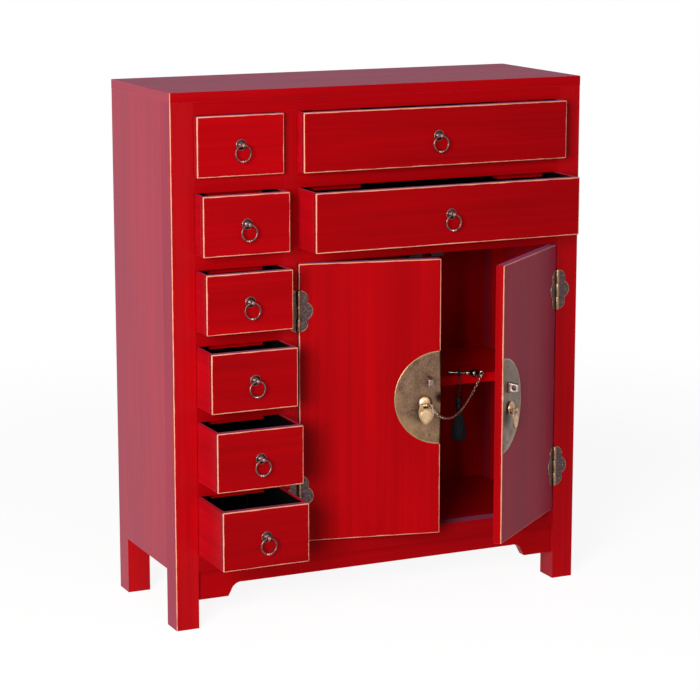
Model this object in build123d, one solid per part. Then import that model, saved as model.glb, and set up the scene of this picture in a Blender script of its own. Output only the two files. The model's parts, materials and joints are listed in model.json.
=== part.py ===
"""Chinese wedding cabinet: a red lacquered chest with a column of six small drawers, two wide
drawers and a two-door cupboard, closed by a round brass lock plate that is split between the doors.

Millimetres, +Z up, front faces -Y. The origin is the rear left corner of the left rear foot, on the
floor, so the carcass fills X 0..width, Y -depth..0 and Z 0..height. Drawers and doors are drawn
partly open, as they stand at rest.
"""
import os
from math import cos, hypot, radians, sin

from build123d import *

# Carcass
width = 700.0
depth = 260.0
height = 830.0
post_width = 37.0
post_depth = 40.0
top_thickness = 15.0
side_thickness = 12.0
back_thickness = 9.0
side_clearance = 90.0  # floor to the lower edge of the side panels
arris = 1.0  # sanded edge on posts, fronts and doors
top_arris = 0.8

# Front frame
rail_depth = 22.0
rail_height = 24.0
top_rail_height = 20.0
bottom_rail_height = 27.0
stile_width = 25.0
small_bay_width = 143.0
small_bays = 6
wide_bays = 2

# Apron under the bottom rail
apron_thickness = 15.0
apron_recess = 5.0
apron_height = 25.5
apron_ear_drop = 20.5
apron_ear_length = 51.0
apron_curve_length = 24.0
apron_knee_reach = 5.0  # from the ear's end to where the ogee turns
apron_knee_rise = 9.0
apron_knee_slope = 3.0

# Inside boards
bottom_thickness = 12.0
partition_thickness = 12.0
shelf_thickness = 15.0
shelf_top = 346.5
shelf_setback = 54.0  # front edge behind the cabinet's face
cleat = 12.0

# Drawers
front_gap = 1.0
drawer_rear_gap = 15.0  # behind a drawer that is pushed in
front_thickness = 12.0
drawer_side = 6.0
drawer_back = 6.0
drawer_bottom = 4.0
back_drop = 12.0  # the back board stands lower than the sides, to pass under the stops
slide_gap = 0.3
runner_thickness = 12.0
runner_overlap = 12.0
guide_height = 12.0
stop_height = 8.0
stop_depth = 20.0
stop_gap = 0.4
small_stop_inset = 28.0
wide_stop_length = 80.0
wide_stop_insets = (33.0, 24.0)
small_pulled = (12.0, 34.0, 44.0, 61.0, 81.0, 101.0)  # how far each stands open, from the top
wide_pulled = (25.0, 69.0)

# Ring pulls
plate_radius = 8.5
plate_step = 1.4
dome_radius = 6.6
dome_height = 3.6
eye_radius = 3.4
eye_bore = 1.95
eye_offset = 9.2  # drawer face to the ring's pivot
eye_neck = 1.8
ring_radius = 12.3
ring_wire = 1.3
ring_bead = 2.4
pull_rise = 1.0  # above the middle of the front
turned_edge = 0.5  # softened edges of small metal parts

# Doors and their hinges
door_gap = 1.5
door_thickness = 14.0
left_open = 12.0  # degrees
right_open = 40.0
leaf_thickness = 1.2
leaf_length = 65.0
leaf_reach = 23.0
leaf_clear = 2.5
barrel_radius = 3.0
barrel_stand_off = 0.2
leaf_middle_lobe = 15.0
leaf_end_lobe = 13.0
hinge_pin_radius = 1.5
hinge_pin_head_radius = 2.4
hinge_pin_head = 1.2
pin_running_gap = 0.06
knuckle_gap = 0.3
hinge_inset = 73.5  # door's end to the hinge's middle
catch_width = 22.0
catch_height = 8.0
catch_depth = 20.0
catch_spread = 19.5
catch_gap = 0.5

# Lock furniture
lock_plate_radius = 75.0
lock_plate_thickness = 1.2
lock_plate_margin = 0.3
nail_radius = 1.5
nail_height = 0.7
# Nails of each plate: from the door's free edge, and from the plate's middle
left_nails = ((18.0, 60.0), (18.0, -60.0), (8.0, 8.5))
right_nails = ((18.0, 60.0), (18.0, -60.0), (66.0, 0.0))
staple_inset = 20.0
staple_rise = 27.0
staple_reach = 17.0
staple_root = 17.5
staple_tip = 11.5
staple_thickness = 8.5
staple_corner = 2.0
staple_bore = 3.25
staple_bore_reach = 10.5
knob_inset = 26.0
knob_drop = 7.0  # from the plate's middle down to the knob's
knob_radius = 11.0
knob_height = 4.5
knob_neck_radius = 4.5
knob_neck = 2.5
knob_eye_drop = 2.0
knob_eye_radius = 2.6
knob_eye_bore = 1.2
knob_eye_reach = 10.5  # lock plate to the pendant's pivot
knob_eye_neck = 1.5
pendant_bar = 1.1  # round bar that turns in the knob's eye
pendant_thickness = 1.6
pendant_width = 25.0
pendant_shoulder = 18.0
pendant_drop = 32.0
pendant_widest_drop = 12.5
pendant_bulge = (11.8, 5.0)  # half width and drop, halfway down the shoulder
pendant_flank = (8.8, 24.0)  # and halfway down to the point
pendant_window = 13.6
pendant_window_drop = 6.0

# Lock pin, lying on the shelf with its head over the front edge
lock_pin_radius = 2.4
lock_pin_angle = -30.5  # degrees, seen from above
lock_pin_aside = 93.25  # from the left door's closed edge to its collar
lock_pin_overhang = 5.2  # from the shelf's front edge to its collar
lock_pin_shaft = 32.0
lock_pin_collar = 3.2
lock_pin_bulb = 6.4
lock_pin_bulb_length = 17.0
lock_pin_stalk = 1.2
lock_pin_eye = 3.0
lock_pin_eye_wire = 0.6

# Tassel, in a loop of cord round the pin
tassel_cord = 0.8
tassel_strands = 1.1  # where the cord hangs doubled
tassel_loop_gap = 0.05
tassel_back = 13.0  # from the pin's collar towards its point
tassel_crown_radius = 3.9
tassel_throat_radius = 4.2
tassel_flare_radius = 9.6
tassel_hang = 36.0  # from the shelf's top to the tassel's head
tassel_head_radius = 5.5
tassel_head = 22.0
tassel_skirt = 49.0
tassel_skirt_radius = 12.0

# Chain from the left door's pendant to the pin
link_wire = 0.55
link_length = 7.6
link_width = 4.8
long_links = (13.0, 13.0)  # the first two
long_link_width = 6.0
link_play = 0.12  # least clearance between two links
chain_offset = 3.9  # along the pendant's bar, from the eye's middle
chain_start_pull = (6.2, -40.0, -23.0)
chain_end_pull = (-54.0, -19.5, -80.0)

# Worked out
front = -depth
drawer_length = depth - back_thickness - drawer_rear_gap
post_top = height - top_thickness
bay_top = post_top - top_rail_height
floor_top = side_clearance + bottom_rail_height
bay_pitch = (bay_top - floor_top + rail_height) / small_bays
bay_height = bay_pitch - rail_height
small_left = post_width
small_right = small_left + small_bay_width
wide_left = small_right + stile_width
wide_right = width - post_width
door_top = bay_top - wide_bays * bay_pitch
rail_back = front + rail_depth
partition_left = (small_right + wide_left - partition_thickness) / 2
partition_right = partition_left + partition_thickness
inner_right = width - side_thickness
inner_back = -back_thickness
hinge_y = front - barrel_radius - barrel_stand_off
left_hinge_x = wide_left + door_gap / 2
right_hinge_x = wide_right - door_gap / 2
door_low = floor_top + door_gap
door_high = door_top - door_gap
door_middle = (door_low + door_high) / 2
door_width = (wide_right - wide_left - 3 * door_gap) / 2
left_edge = wide_left + door_gap + door_width
right_edge = wide_right - door_gap - door_width
plate_face = front - lock_plate_thickness
lock_pin_x = left_edge + lock_pin_aside
pin_eye_distance = lock_pin_collar + lock_pin_bulb_length + lock_pin_eye
tassel_loop = lock_pin_radius + tassel_loop_gap + tassel_cord


def block(low, high):
    """A box between two corners."""
    size = [b - a for a, b in zip(low, high)]
    middle = [(a + b) / 2 for a, b in zip(low, high)]
    return Pos(*middle) * Box(*size)


def along_y(shape):
    """Turns a shape drawn up the Z axis so that it stands out of the front, towards -Y."""
    return Rot(90, 0, 0) * shape


def standing_cylinder(radius, tall):
    return Cylinder(radius, tall, align=(Align.CENTER, Align.CENTER, Align.MIN))


def save(name, *shapes):
    """Writes one node, a single solid or a group of separate ones."""
    shape = shapes[0] if len(shapes) == 1 else Compound(children=list(shapes))
    export_step(shape, f"parts/{name}.step")


def swing_left(shape):
    return shape.rotate(Axis((left_hinge_x, hinge_y, 0), (0, 0, 1)), -left_open)


def swing_right(shape):
    return shape.rotate(Axis((right_hinge_x, hinge_y, 0), (0, 0, 1)), right_open)


def mirror_door(shape):
    """The left door's furniture, carried over to the right door."""
    return shape.mirror(Plane.YZ.offset((left_edge + right_edge) / 2))


# Carcass


def post(left, rear):
    x = 0 if left else width - post_width
    y = -post_depth if rear else front
    solid = block((x, y, 0), (x + post_width, y + post_depth, post_top))
    corner = Vector(0 if left else width, 0 if rear else front, post_top / 2)
    return chamfer(solid.edges().filter_by(Axis.Z).sort_by_distance(corner)[0], arris)


def top_panel():
    solid = block((0, front, post_top), (width, 0, height))
    solid = chamfer(solid.edges().filter_by(Axis.Z), arris)
    return chamfer(solid.faces().sort_by(Axis.Z)[-1].edges(), top_arris)


def side_panel(x):
    return block((x, front + post_depth, side_clearance), (x + side_thickness, -post_depth, post_top))


def bottom_board():
    low = floor_top - bottom_thickness
    main = block((side_thickness, front + post_depth, low), (inner_right, -post_depth, floor_top))
    ahead = block((post_width, rail_back, low), (width - post_width, front + post_depth, floor_top))
    behind = block((post_width, -post_depth, low), (width - post_width, inner_back, floor_top))
    return main + ahead + behind


def apron():
    """A board with a drooping ear at each end and an ogee between the ear and the straight part."""
    left, right = post_width, width - post_width
    top = side_clearance
    middle = top - apron_height
    low = middle - apron_ear_drop
    ear = left + apron_ear_length
    straight = ear + apron_curve_length
    ear_right = right - apron_ear_length
    straight_right = ear_right - apron_curve_length
    knee = (ear + apron_knee_reach, low + apron_knee_rise)
    knee_right = (ear_right - apron_knee_reach, low + apron_knee_rise)
    lines = [
        Line((left, top), (left, low)),
        Line((left, low), (ear, low)),
        Line((ear, low), knee),
        TangentArc(knee, (straight, middle), tangent=(1, apron_knee_slope)),
        Line((straight, middle), (straight_right, middle)),
        TangentArc(knee_right, (straight_right, middle), tangent=(-1, apron_knee_slope)),
        Line(knee_right, (ear_right, low)),
        Line((ear_right, low), (right, low)),
        Line((right, low), (right, top)),
        Line((right, top), (left, top)),
    ]
    face = make_face(Curve() + lines)
    board = extrude(Plane.XZ * face, amount=apron_thickness)
    return Pos(0, front + apron_recess + apron_thickness, 0) * board


def rail(left, right, low, high):
    return block((left, front, low), (right, rail_back, high))


def bay_floor(index):
    """Height of the surface that the drawer in this bay slides on, counted from the top."""
    return bay_top - index * bay_pitch - bay_height


def small_rails():
    levels = [bay_floor(i) for i in range(small_bays - 1)]
    return [rail(small_left, small_right, level - rail_height, level) for level in levels]


def wide_rails():
    levels = [bay_floor(i) for i in range(wide_bays)]
    return [rail(wide_left, wide_right, level - rail_height, level) for level in levels]


def runners_at(level, left_wall, right_wall, left_bay, right_bay, rest):
    """Two guides beside a drawer and, where it doesn't rest on the bottom board, two runners under it."""
    guides = level + guide_height
    rear = -post_depth
    ahead = front + post_depth
    strips = [
        block((left_wall, ahead, level), (left_bay + front_gap / 2, rear, guides)),
        block((right_bay - front_gap / 2, ahead, level), (right_wall, rear, guides)),
    ]
    if rest:
        low = level - runner_thickness
        strips += [
            block((left_wall, ahead, low), (left_bay + runner_overlap, rear, level)),
            block((right_bay - runner_overlap, ahead, low), (right_wall, rear, level)),
        ]
    return strips


def drawer_runners():
    strips = []
    small_bay = (side_thickness, partition_left, small_left, small_right)
    wide_bay = (partition_right, inner_right, wide_left, wide_right)
    for i in range(small_bays):
        strips += runners_at(bay_floor(i), *small_bay, i < small_bays - 1)
    for i in range(wide_bays):
        strips += runners_at(bay_floor(i), *wide_bay, True)
    return strips


def drawer_stops():
    """Blocks under the rails that the drawer fronts meet when they are pushed in."""
    y = front + front_thickness + stop_gap
    spans = [(small_left + small_stop_inset, small_right - small_stop_inset, small_bays)]
    left, right = wide_stop_insets
    spans.append((wide_left + left, wide_left + left + wide_stop_length, wide_bays))
    spans.append((wide_right - right - wide_stop_length, wide_right - right, wide_bays))
    stops = []
    for low, high, count in spans:
        for i in range(count):
            top = bay_floor(i) + bay_height
            stops.append(block((low, y, top - stop_height), (high, y + stop_depth, top)))
    return stops


def shelf():
    low = (partition_right, front + shelf_setback, shelf_top - shelf_thickness)
    board = block(low, (inner_right, inner_back, shelf_top))
    notch = block((width - post_width, -post_depth, 0), (width, 0, height))
    return board - notch


def shelf_cleats():
    high = shelf_top - shelf_thickness
    ahead = front + shelf_setback + cleat
    return [
        block((partition_right, ahead, high - cleat), (partition_right + cleat, inner_back, high)),
        block((inner_right - cleat, ahead, high - cleat), (inner_right, -post_depth, high)),
    ]


def door_catches():
    middle = (left_edge + right_edge) / 2
    y = front + door_thickness + catch_gap
    catches = []
    for side in (-1, 1):
        x = middle + side * catch_spread
        low = (x - catch_width / 2, y, door_top - catch_height)
        catches.append(block(low, (x + catch_width / 2, y + catch_depth, door_top)))
    return catches


# Drawers and their ring pulls


def drawer_boards(left, right, level, pulled):
    """Front, two sides, back and bottom of one drawer."""
    x0, x1 = left + front_gap, right - front_gap
    y0 = front - pulled
    y1 = y0 + drawer_length
    z0, z1 = level + slide_gap, level + bay_height - front_gap
    behind = y0 + front_thickness
    face = block((x0, y0, z0), (x1, behind, z1))
    face = chamfer(face.faces().sort_by(Axis.Y)[0].edges(), arris)
    sides = [
        block((x0, behind, z0), (x0 + drawer_side, y1, z1)),
        block((x1 - drawer_side, behind, z0), (x1, y1, z1)),
    ]
    inner = (x0 + drawer_side, x1 - drawer_side)
    back = block((inner[0], y1 - drawer_back, z0), (inner[1], y1, z1 - back_drop))
    bottom = block((inner[0], behind, z0), (inner[1], y1 - drawer_back, z0 + drawer_bottom))
    return [face, *sides, back, bottom]


def pull_base():
    """A stepped round plate with a dome, and in front of it the drilled eye that the ring hangs in."""
    plate = standing_cylinder(plate_radius, plate_step)
    plate = chamfer(plate.faces().sort_by(Axis.Z)[-1].edges(), turned_edge)
    ball_radius = (dome_radius**2 + dome_height**2) / (2 * dome_height)
    ball = Pos(0, 0, plate_step + dome_height - ball_radius) * Sphere(ball_radius)
    dome = ball & Pos(0, 0, plate_step) * standing_cylinder(dome_radius, dome_height)
    neck = standing_cylinder(eye_neck, eye_offset)
    eye = Pos(0, 0, eye_offset) * Sphere(eye_radius)
    bore = Pos(0, 0, eye_offset) * (Rot(0, 90, 0) * Cylinder(eye_bore, 4 * eye_radius))
    return along_y(plate + dome + neck + eye - bore)


def pull_ring():
    """The ring hangs below its pivot, with a bead at the lowest point."""
    ring = Rot(90, 0, 0) * Torus(ring_radius, ring_wire)
    bead = Pos(0, 0, -ring_radius) * Sphere(ring_bead)
    return Pos(0, -eye_offset, -ring_radius) * (ring + bead)


def save_drawer(name, left, right, level, pulled):
    place = Pos((left + right) / 2, front - pulled, level + bay_height / 2 + pull_rise)
    save(name, *drawer_boards(left, right, level, pulled))
    save(f"{name}_pull_base", place * pull_base())
    save(f"{name}_ring", place * pull_ring())


# Doors


def door_board(left):
    solid = block((left, front, door_low), (left + door_width, front + door_thickness, door_high))
    return chamfer(solid.faces().sort_by(Axis.Y)[0].edges(), arris)


def leaf_outline():
    """Cloud-shaped leaf, to the right of the barrel: a wide middle lobe between two smaller ones."""
    end_height = leaf_length / 2 - leaf_end_lobe
    shape = Pos(leaf_reach - leaf_middle_lobe, 0) * Circle(leaf_middle_lobe)
    shape += Pos(leaf_clear, end_height) * Circle(leaf_end_lobe)
    shape += Pos(leaf_clear, -end_height) * Circle(leaf_end_lobe)
    window = Pos(leaf_clear + leaf_reach, 0) * Rectangle(2 * leaf_reach, 2 * leaf_length)
    return shape & window


def knuckle(low, high):
    """One tube of the hinge barrel with the tongue that joins it to its leaf."""
    tall = high - low
    middle = (low + high) / 2
    tube = Pos(0, 0, middle) * Cylinder(barrel_radius, tall)
    face_y = barrel_radius + barrel_stand_off
    tongue = block((0, face_y - leaf_thickness, low), (leaf_clear + leaf_thickness, face_y, high))
    bore = Pos(0, 0, middle) * Cylinder(hinge_pin_radius + pin_running_gap, tall)
    return tube + tongue - bore


def hinge_leaf(on_door):
    """A leaf to the right of an upright barrel on the origin; the door's has the middle knuckle."""
    face_y = barrel_radius + barrel_stand_off
    leaf = extrude(Plane.XZ * leaf_outline(), amount=leaf_thickness)
    leaf = Pos(0, face_y, 0) * leaf
    third = leaf_length / 6
    half = leaf_length / 2
    if on_door:
        return leaf + knuckle(-third + knuckle_gap, third - knuckle_gap)
    return leaf + knuckle(third, half) + knuckle(-half, -third)


def hinge_pin():
    half = leaf_length / 2
    shank = Cylinder(hinge_pin_radius, leaf_length)
    head = standing_cylinder(hinge_pin_head_radius, hinge_pin_head)
    head = fillet(head.faces().sort_by(Axis.Z)[-1].edges(), turned_edge)
    return shank + Pos(0, 0, half) * head


def hinge_heights():
    return (door_low + hinge_inset, door_high - hinge_inset)


def on_left(shape, z):
    return Pos(left_hinge_x, hinge_y, z) * shape


def on_right(shape, z):
    return Pos(right_hinge_x, hinge_y, z) * shape


def save_hinges():
    door_leaf = hinge_leaf(True)
    frame_leaf = hinge_leaf(False)
    pin = hinge_pin()
    fixed = []
    for z in hinge_heights():
        fixed += [on_left(frame_leaf.mirror(Plane.YZ), z), on_right(frame_leaf, z)]
        fixed += [on_left(pin, z), on_right(pin, z)]
    save("hinge_frame_leaves_and_pins", *fixed)
    save("left_hinge_door_leaves", *[swing_left(on_left(door_leaf, z)) for z in hinge_heights()])
    mirrored = door_leaf.mirror(Plane.YZ)
    save("right_hinge_door_leaves", *[swing_right(on_right(mirrored, z)) for z in hinge_heights()])


# Lock furniture, drawn on the closed left door


def lock_plate(nails):
    """Half of a round plate, flat along the door's free edge, with its nails."""
    x = left_edge - lock_plate_margin
    disc = standing_cylinder(lock_plate_radius, lock_plate_thickness)
    disc = chamfer(disc.faces().sort_by(Axis.Z)[-1].edges(), turned_edge)
    disc = Pos(x, front, door_middle) * along_y(disc)
    cut = block((x, plate_face, 0), (x + lock_plate_radius, front, height))
    nail = standing_cylinder(nail_radius, nail_height)
    nail = fillet(nail.faces().sort_by(Axis.Z)[-1].edges(), turned_edge)
    nail = along_y(nail)
    heads = [Pos(left_edge - inset, plate_face, door_middle + rise) * nail for inset, rise in nails]
    return [disc - cut, *heads]


def lock_staple():
    """A tapered lug with a hole along the door, which the lock pin goes through."""
    root, tip = staple_root / 2, staple_tip / 2
    outline = Polyline((0, -root), (staple_reach, -tip), (staple_reach, tip), (0, root), close=True)
    lug = extrude(make_face(outline), amount=staple_thickness / 2, both=True)
    lug = fillet(lug.faces().sort_by(Axis.X)[-1].edges().filter_by(Axis.Z), staple_corner)
    lug -= Pos(staple_bore_reach, 0, 0) * Cylinder(staple_bore, 2 * staple_thickness)
    # drawn with its reach along X and its height along Y
    lug = Plane(origin=(0, 0, 0), x_dir=(0, -1, 0), z_dir=(-1, 0, 0)) * lug
    return Pos(left_edge - staple_inset, plate_face, door_middle + staple_rise) * lug


def door_knob():
    """A turned dome on a short neck; the eye below its middle carries the pendant."""
    seat = knob_neck + turned_edge
    ball = Pos(0, 0, knob_neck) * scale(Sphere(knob_radius), by=(1, 1, knob_height / knob_radius))
    dome = ball & Pos(0, 0, knob_neck) * standing_cylinder(knob_radius, knob_height)
    stem = Pos(0, -knob_eye_drop, seat) * standing_cylinder(knob_eye_neck, knob_eye_reach - seat)
    eye = Pos(0, -knob_eye_drop, knob_eye_reach) * Sphere(knob_eye_radius)
    bore = Rot(0, 90, 0) * Cylinder(knob_eye_bore, 4 * knob_eye_radius)
    bore = Pos(0, -knob_eye_drop, knob_eye_reach) * bore
    knob = standing_cylinder(knob_neck_radius, seat) + dome + stem + eye - bore
    return Pos(left_edge - knob_inset, plate_face, door_middle - knob_drop) * along_y(knob)


def pendant_pivot():
    """The point on the closed left door that its pendant swings about."""
    return (left_edge - knob_inset, plate_face - knob_eye_reach, door_middle - knob_drop - knob_eye_drop)


def pendant():
    """A leaf-shaped plate that hangs by a round bar through the knob's eye."""
    half = pendant_width / 2
    shoulder = (pendant_shoulder / 2, pendant_bar)
    widest = (half, -pendant_widest_drop)
    tip = (0, -pendant_drop)
    bulge = (pendant_bulge[0], -pendant_bulge[1])
    flank = (pendant_flank[0], -pendant_flank[1])
    sides = []
    for side in (1, -1):
        points = [(side * x, y) for x, y in (shoulder, bulge, widest, flank, tip)]
        sides += [ThreePointArc(*points[:3]), ThreePointArc(*points[2:])]
    sides.append(Line(shoulder, (-shoulder[0], shoulder[1])))
    plate = extrude(make_face(Curve() + sides), amount=pendant_thickness / 2, both=True)
    reach = pendant_window / 2
    window = block(
        (-reach, -pendant_window_drop, -pendant_thickness),
        (reach, pendant_bar + pendant_thickness, pendant_thickness),
    )
    bar = Rot(0, 90, 0) * Cylinder(pendant_bar, pendant_window + 2 * pendant_bar)
    leaf = Rot(90, 0, 0) * (plate - window + bar)
    return Pos(*pendant_pivot()) * leaf


# Lock pin, tassel and chain


def pin_direction():
    return (cos(radians(lock_pin_angle)), sin(radians(lock_pin_angle)))


def pin_point(distance):
    """A point on the lock pin's axis, counted from its collar towards the head. The loop is under it."""
    dx, dy = pin_direction()
    y = front + shelf_setback - lock_pin_overhang
    return (lock_pin_x + dx * distance, y + dy * distance, shelf_top + tassel_loop + tassel_cord)


def lock_pin():
    """A round shaft with a collar, a bulb-shaped head and a wire eye at its end."""
    shaft = Pos(0, 0, -lock_pin_shaft) * standing_cylinder(lock_pin_radius, lock_pin_shaft + lock_pin_collar)
    shaft = fillet(shaft.faces().sort_by(Axis.Z)[0].edges(), lock_pin_radius / 2)
    bulb = scale(Sphere(lock_pin_bulb), by=(1, 1, lock_pin_bulb_length / 2 / lock_pin_bulb))
    bulb = Pos(0, 0, lock_pin_collar + lock_pin_bulb_length / 2) * bulb
    stalk = standing_cylinder(lock_pin_stalk, pin_eye_distance - lock_pin_eye)
    eye = Pos(0, 0, pin_eye_distance) * (Rot(90, 0, 0) * Torus(lock_pin_eye, lock_pin_eye_wire))
    pin = shaft + Sphere(lock_pin_collar) + bulb + stalk + eye
    dx, dy = pin_direction()
    return Plane(origin=pin_point(0), x_dir=(0, 0, 1), z_dir=(dx, dy, 0)) * pin


def tassel():
    """A loop round the pin, a cord down from its front, a bound head and a flared skirt."""
    dx, dy = pin_direction()
    x, y, z = pin_point(-tassel_back)
    loop = Plane(origin=(x, y, z), z_dir=(dx, dy, 0)) * Torus(tassel_loop, tassel_cord)
    hang = (x + dy * tassel_loop, y - dx * tassel_loop)
    head_top = shelf_top - tassel_hang
    cord = Pos(*hang, head_top) * standing_cylinder(tassel_strands, z - 2 * tassel_cord - head_top)
    neck = head_top - tassel_head
    profile = Polyline(
        (0, head_top),
        (tassel_crown_radius, head_top),
        (tassel_head_radius, head_top - tassel_head / 3),
        (tassel_throat_radius, neck),
        (tassel_flare_radius, neck - tassel_skirt / 2),
        (tassel_skirt_radius, neck - tassel_skirt),
        (0, neck - tassel_skirt),
        close=True,
    )
    body = revolve(Plane.XZ * make_face(profile), axis=Axis.Z)
    return loop + cord + Pos(*hang, 0) * body


def chain_ends():
    """The middles of the two wires that the chain hangs from: the pendant's bar and the pin's eye."""
    x, y, z = pendant_pivot()
    bar = swing_left(Pos(x + chain_offset, y, z) * Sphere(pendant_bar)).center()
    eye = Vector(*pin_point(pin_eye_distance)) - Vector(0, 0, lock_pin_eye)
    return bar, eye


def bar_direction():
    return Vector(cos(radians(left_open)), -sin(radians(left_open)), 0)


def inner_length(length):
    return length - 4 * link_wire


def chain_play(lengths, span):
    """Clearance between neighbours when links of these lengths share the span."""
    taut = sum(inner_length(length) for length in lengths) - pendant_bar - lock_pin_eye_wire
    return (taut - span) / (len(lengths) + 1)


def chain_link(long, wide):
    path = SlotOverall(long - 2 * link_wire, wide - 2 * link_wire).wire()
    return sweep(Plane(origin=path @ 0, z_dir=path % 0) * Circle(link_wire), path=path)


def chain_point(curve, distance):
    """A point along the curve, or straight on past either of its ends."""
    share = min(max(distance / curve.length, 0), 1)
    return curve @ share + (curve % share).normalized() * (distance - share * curve.length)


def chain_links():
    """Oval wire links, each turned a quarter round its neighbour, along one slack curve."""
    start, end = chain_ends()
    curve = Bezier(start, start + Vector(*chain_start_pull), end + Vector(*chain_end_pull), end)
    lengths = [*long_links, link_length]
    while chain_play(lengths, curve.length) < link_play:
        lengths += [link_length, link_length]
    play = chain_play(lengths, curve.length)
    first_links = [chain_link(length, long_link_width) for length in long_links]
    short_link = chain_link(link_length, link_width)
    along = -pendant_bar - play
    links = []
    for i, length in enumerate(lengths):
        near = chain_point(curve, along)
        along += inner_length(length)
        far = chain_point(curve, along)
        along -= play
        tangent = (far - near).normalized()
        across = (bar_direction() - tangent * tangent.dot(bar_direction())).normalized()
        normal = across if i % 2 == 0 else tangent.cross(across)
        link = first_links[i] if i < len(first_links) else short_link
        links.append(Plane(origin=(near + far) / 2, x_dir=tangent, z_dir=normal) * link)
    return links


def main():
    os.makedirs("parts", exist_ok=True)
    save("front_post_left", post(True, False))
    save("front_post_right", post(False, False))
    save("rear_post_left", post(True, True))
    save("rear_post_right", post(False, True))
    save("top_panel", top_panel())
    save("side_panel_left", side_panel(0))
    save("side_panel_right", side_panel(inner_right))
    save("back_panel", block((post_width, inner_back, side_clearance), (width - post_width, 0, post_top)))
    save("bottom_board", bottom_board())
    save("top_rail", rail(small_left, wide_right, bay_top, post_top))
    save("bottom_rail", rail(small_left, wide_right, side_clearance, floor_top))
    save("apron", apron())
    save("centre_stile", rail(small_right, wide_left, floor_top, bay_top))
    save("drawer_rails", *small_rails(), *wide_rails())
    save("partition", block((partition_left, rail_back, floor_top), (partition_right, inner_back, post_top)))
    save("drawer_runners", *drawer_runners())
    save("drawer_stops", *drawer_stops())
    save("shelf", shelf())
    save("shelf_cleats", *shelf_cleats())
    save("door_catches", *door_catches())

    for i, pulled in enumerate(small_pulled):
        save_drawer(f"small_drawer_{i + 1}", small_left, small_right, bay_floor(i), pulled)
    for i, pulled in enumerate(wide_pulled):
        save_drawer(f"wide_drawer_{i + 1}", wide_left, wide_right, bay_floor(i), pulled)

    save_hinges()
    save("left_door_panel", swing_left(door_board(wide_left + door_gap)))
    save("right_door_panel", swing_right(door_board(right_edge)))
    save("left_lock_plate", *[swing_left(piece) for piece in lock_plate(left_nails)])
    save("right_lock_plate", *[swing_right(mirror_door(piece)) for piece in lock_plate(right_nails)])
    pieces = {"lock_staple": lock_staple(), "door_knob": door_knob(), "door_pendant": pendant()}
    for name, piece in pieces.items():
        save(f"left_{name}", swing_left(piece))
        save(f"right_{name}", swing_right(mirror_door(piece)))

    save("lock_pin", lock_pin())
    save("lock_tassel", tassel())
    save("lock_chain", *chain_links())


main()
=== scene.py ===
# Red lacquered wedding cabinet: six small drawers, two wide drawers and a two-door cupboard
# with a round brass lock plate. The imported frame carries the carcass, and the pieces below dress it.
import json
import math

import bmesh
import bpy
import numpy as np
from mathutils import Matrix, Vector


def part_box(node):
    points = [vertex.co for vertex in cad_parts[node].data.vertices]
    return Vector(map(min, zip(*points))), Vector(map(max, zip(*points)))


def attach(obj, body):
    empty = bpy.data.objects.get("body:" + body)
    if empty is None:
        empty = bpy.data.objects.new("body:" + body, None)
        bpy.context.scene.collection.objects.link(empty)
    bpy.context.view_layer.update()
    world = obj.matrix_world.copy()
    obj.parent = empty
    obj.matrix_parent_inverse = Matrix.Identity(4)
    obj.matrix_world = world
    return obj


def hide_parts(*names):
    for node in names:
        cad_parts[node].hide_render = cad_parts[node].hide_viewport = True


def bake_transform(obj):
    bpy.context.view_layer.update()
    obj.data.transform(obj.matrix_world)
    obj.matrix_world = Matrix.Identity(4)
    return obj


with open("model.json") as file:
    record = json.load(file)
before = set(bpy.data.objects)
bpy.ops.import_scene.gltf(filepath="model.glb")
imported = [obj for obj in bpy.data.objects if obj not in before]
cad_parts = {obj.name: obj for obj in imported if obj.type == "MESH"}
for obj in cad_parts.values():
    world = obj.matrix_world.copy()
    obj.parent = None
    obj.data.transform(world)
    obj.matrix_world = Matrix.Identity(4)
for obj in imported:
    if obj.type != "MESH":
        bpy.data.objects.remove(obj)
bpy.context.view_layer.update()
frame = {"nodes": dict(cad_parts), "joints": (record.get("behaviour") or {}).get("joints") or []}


print("frame loaded:", len(frame["nodes"]), "nodes")

mm = 0.001
xAxis, yAxis, zAxis = np.eye(3)
frontAxes = (xAxis, zAxis, -yAxis)  # a shape drawn on the ground stands out of the cabinet's face
jointPlace = {j["name"]: np.array(j.get("pos_m", (0, 0, 0)), float) for j in frame["joints"]}


# small tools


def colour(text):
    # sRGB hex to linear: divide by 12.92 near black, else ((c + 0.055) / 1.055) to the 2.4
    parts = [int(text[i : i + 2], 16) / 255 for i in (0, 2, 4)]
    return [c / 12.92 if c <= 0.04045 else ((c + 0.055) / 1.055) ** 2.4 for c in parts] + [1.0]


def addNode(tree, kind, links=None, stops=None, **settings):
    # links: socket name or number to a value, or to (node, output name or number)
    node = tree.nodes.new("ShaderNode" + kind)
    for name, value in settings.items():
        setattr(node, name, value)
    if stops:
        ramp = node.color_ramp
        while len(ramp.elements) < len(stops):
            ramp.elements.new(0.5)
        for element, (place, shade) in zip(ramp.elements, stops):
            element.position = place
            element.color = shade if isinstance(shade, list) else [shade, shade, shade, 1.0]
    for socket, value in (links or {}).items():
        target = node.inputs[socket]
        if isinstance(value, tuple) and isinstance(value[0], bpy.types.Node):
            tree.links.new(value[0].outputs[value[1]], target)
        else:
            target.default_value = value
    return node


def newMaterial(name):
    material = bpy.data.materials.new(name)
    material.use_nodes = True
    material.node_tree.nodes.clear()
    return material, material.node_tree


def finishMaterial(tree, shader):
    addNode(tree, "OutputMaterial", {"Surface": (shader, 0)})


def objectPlace(tree):
    return addNode(tree, "TexCoord"), "Object"


def dress(obj, material):
    obj.data.materials.clear()
    obj.data.materials.append(material)


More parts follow.
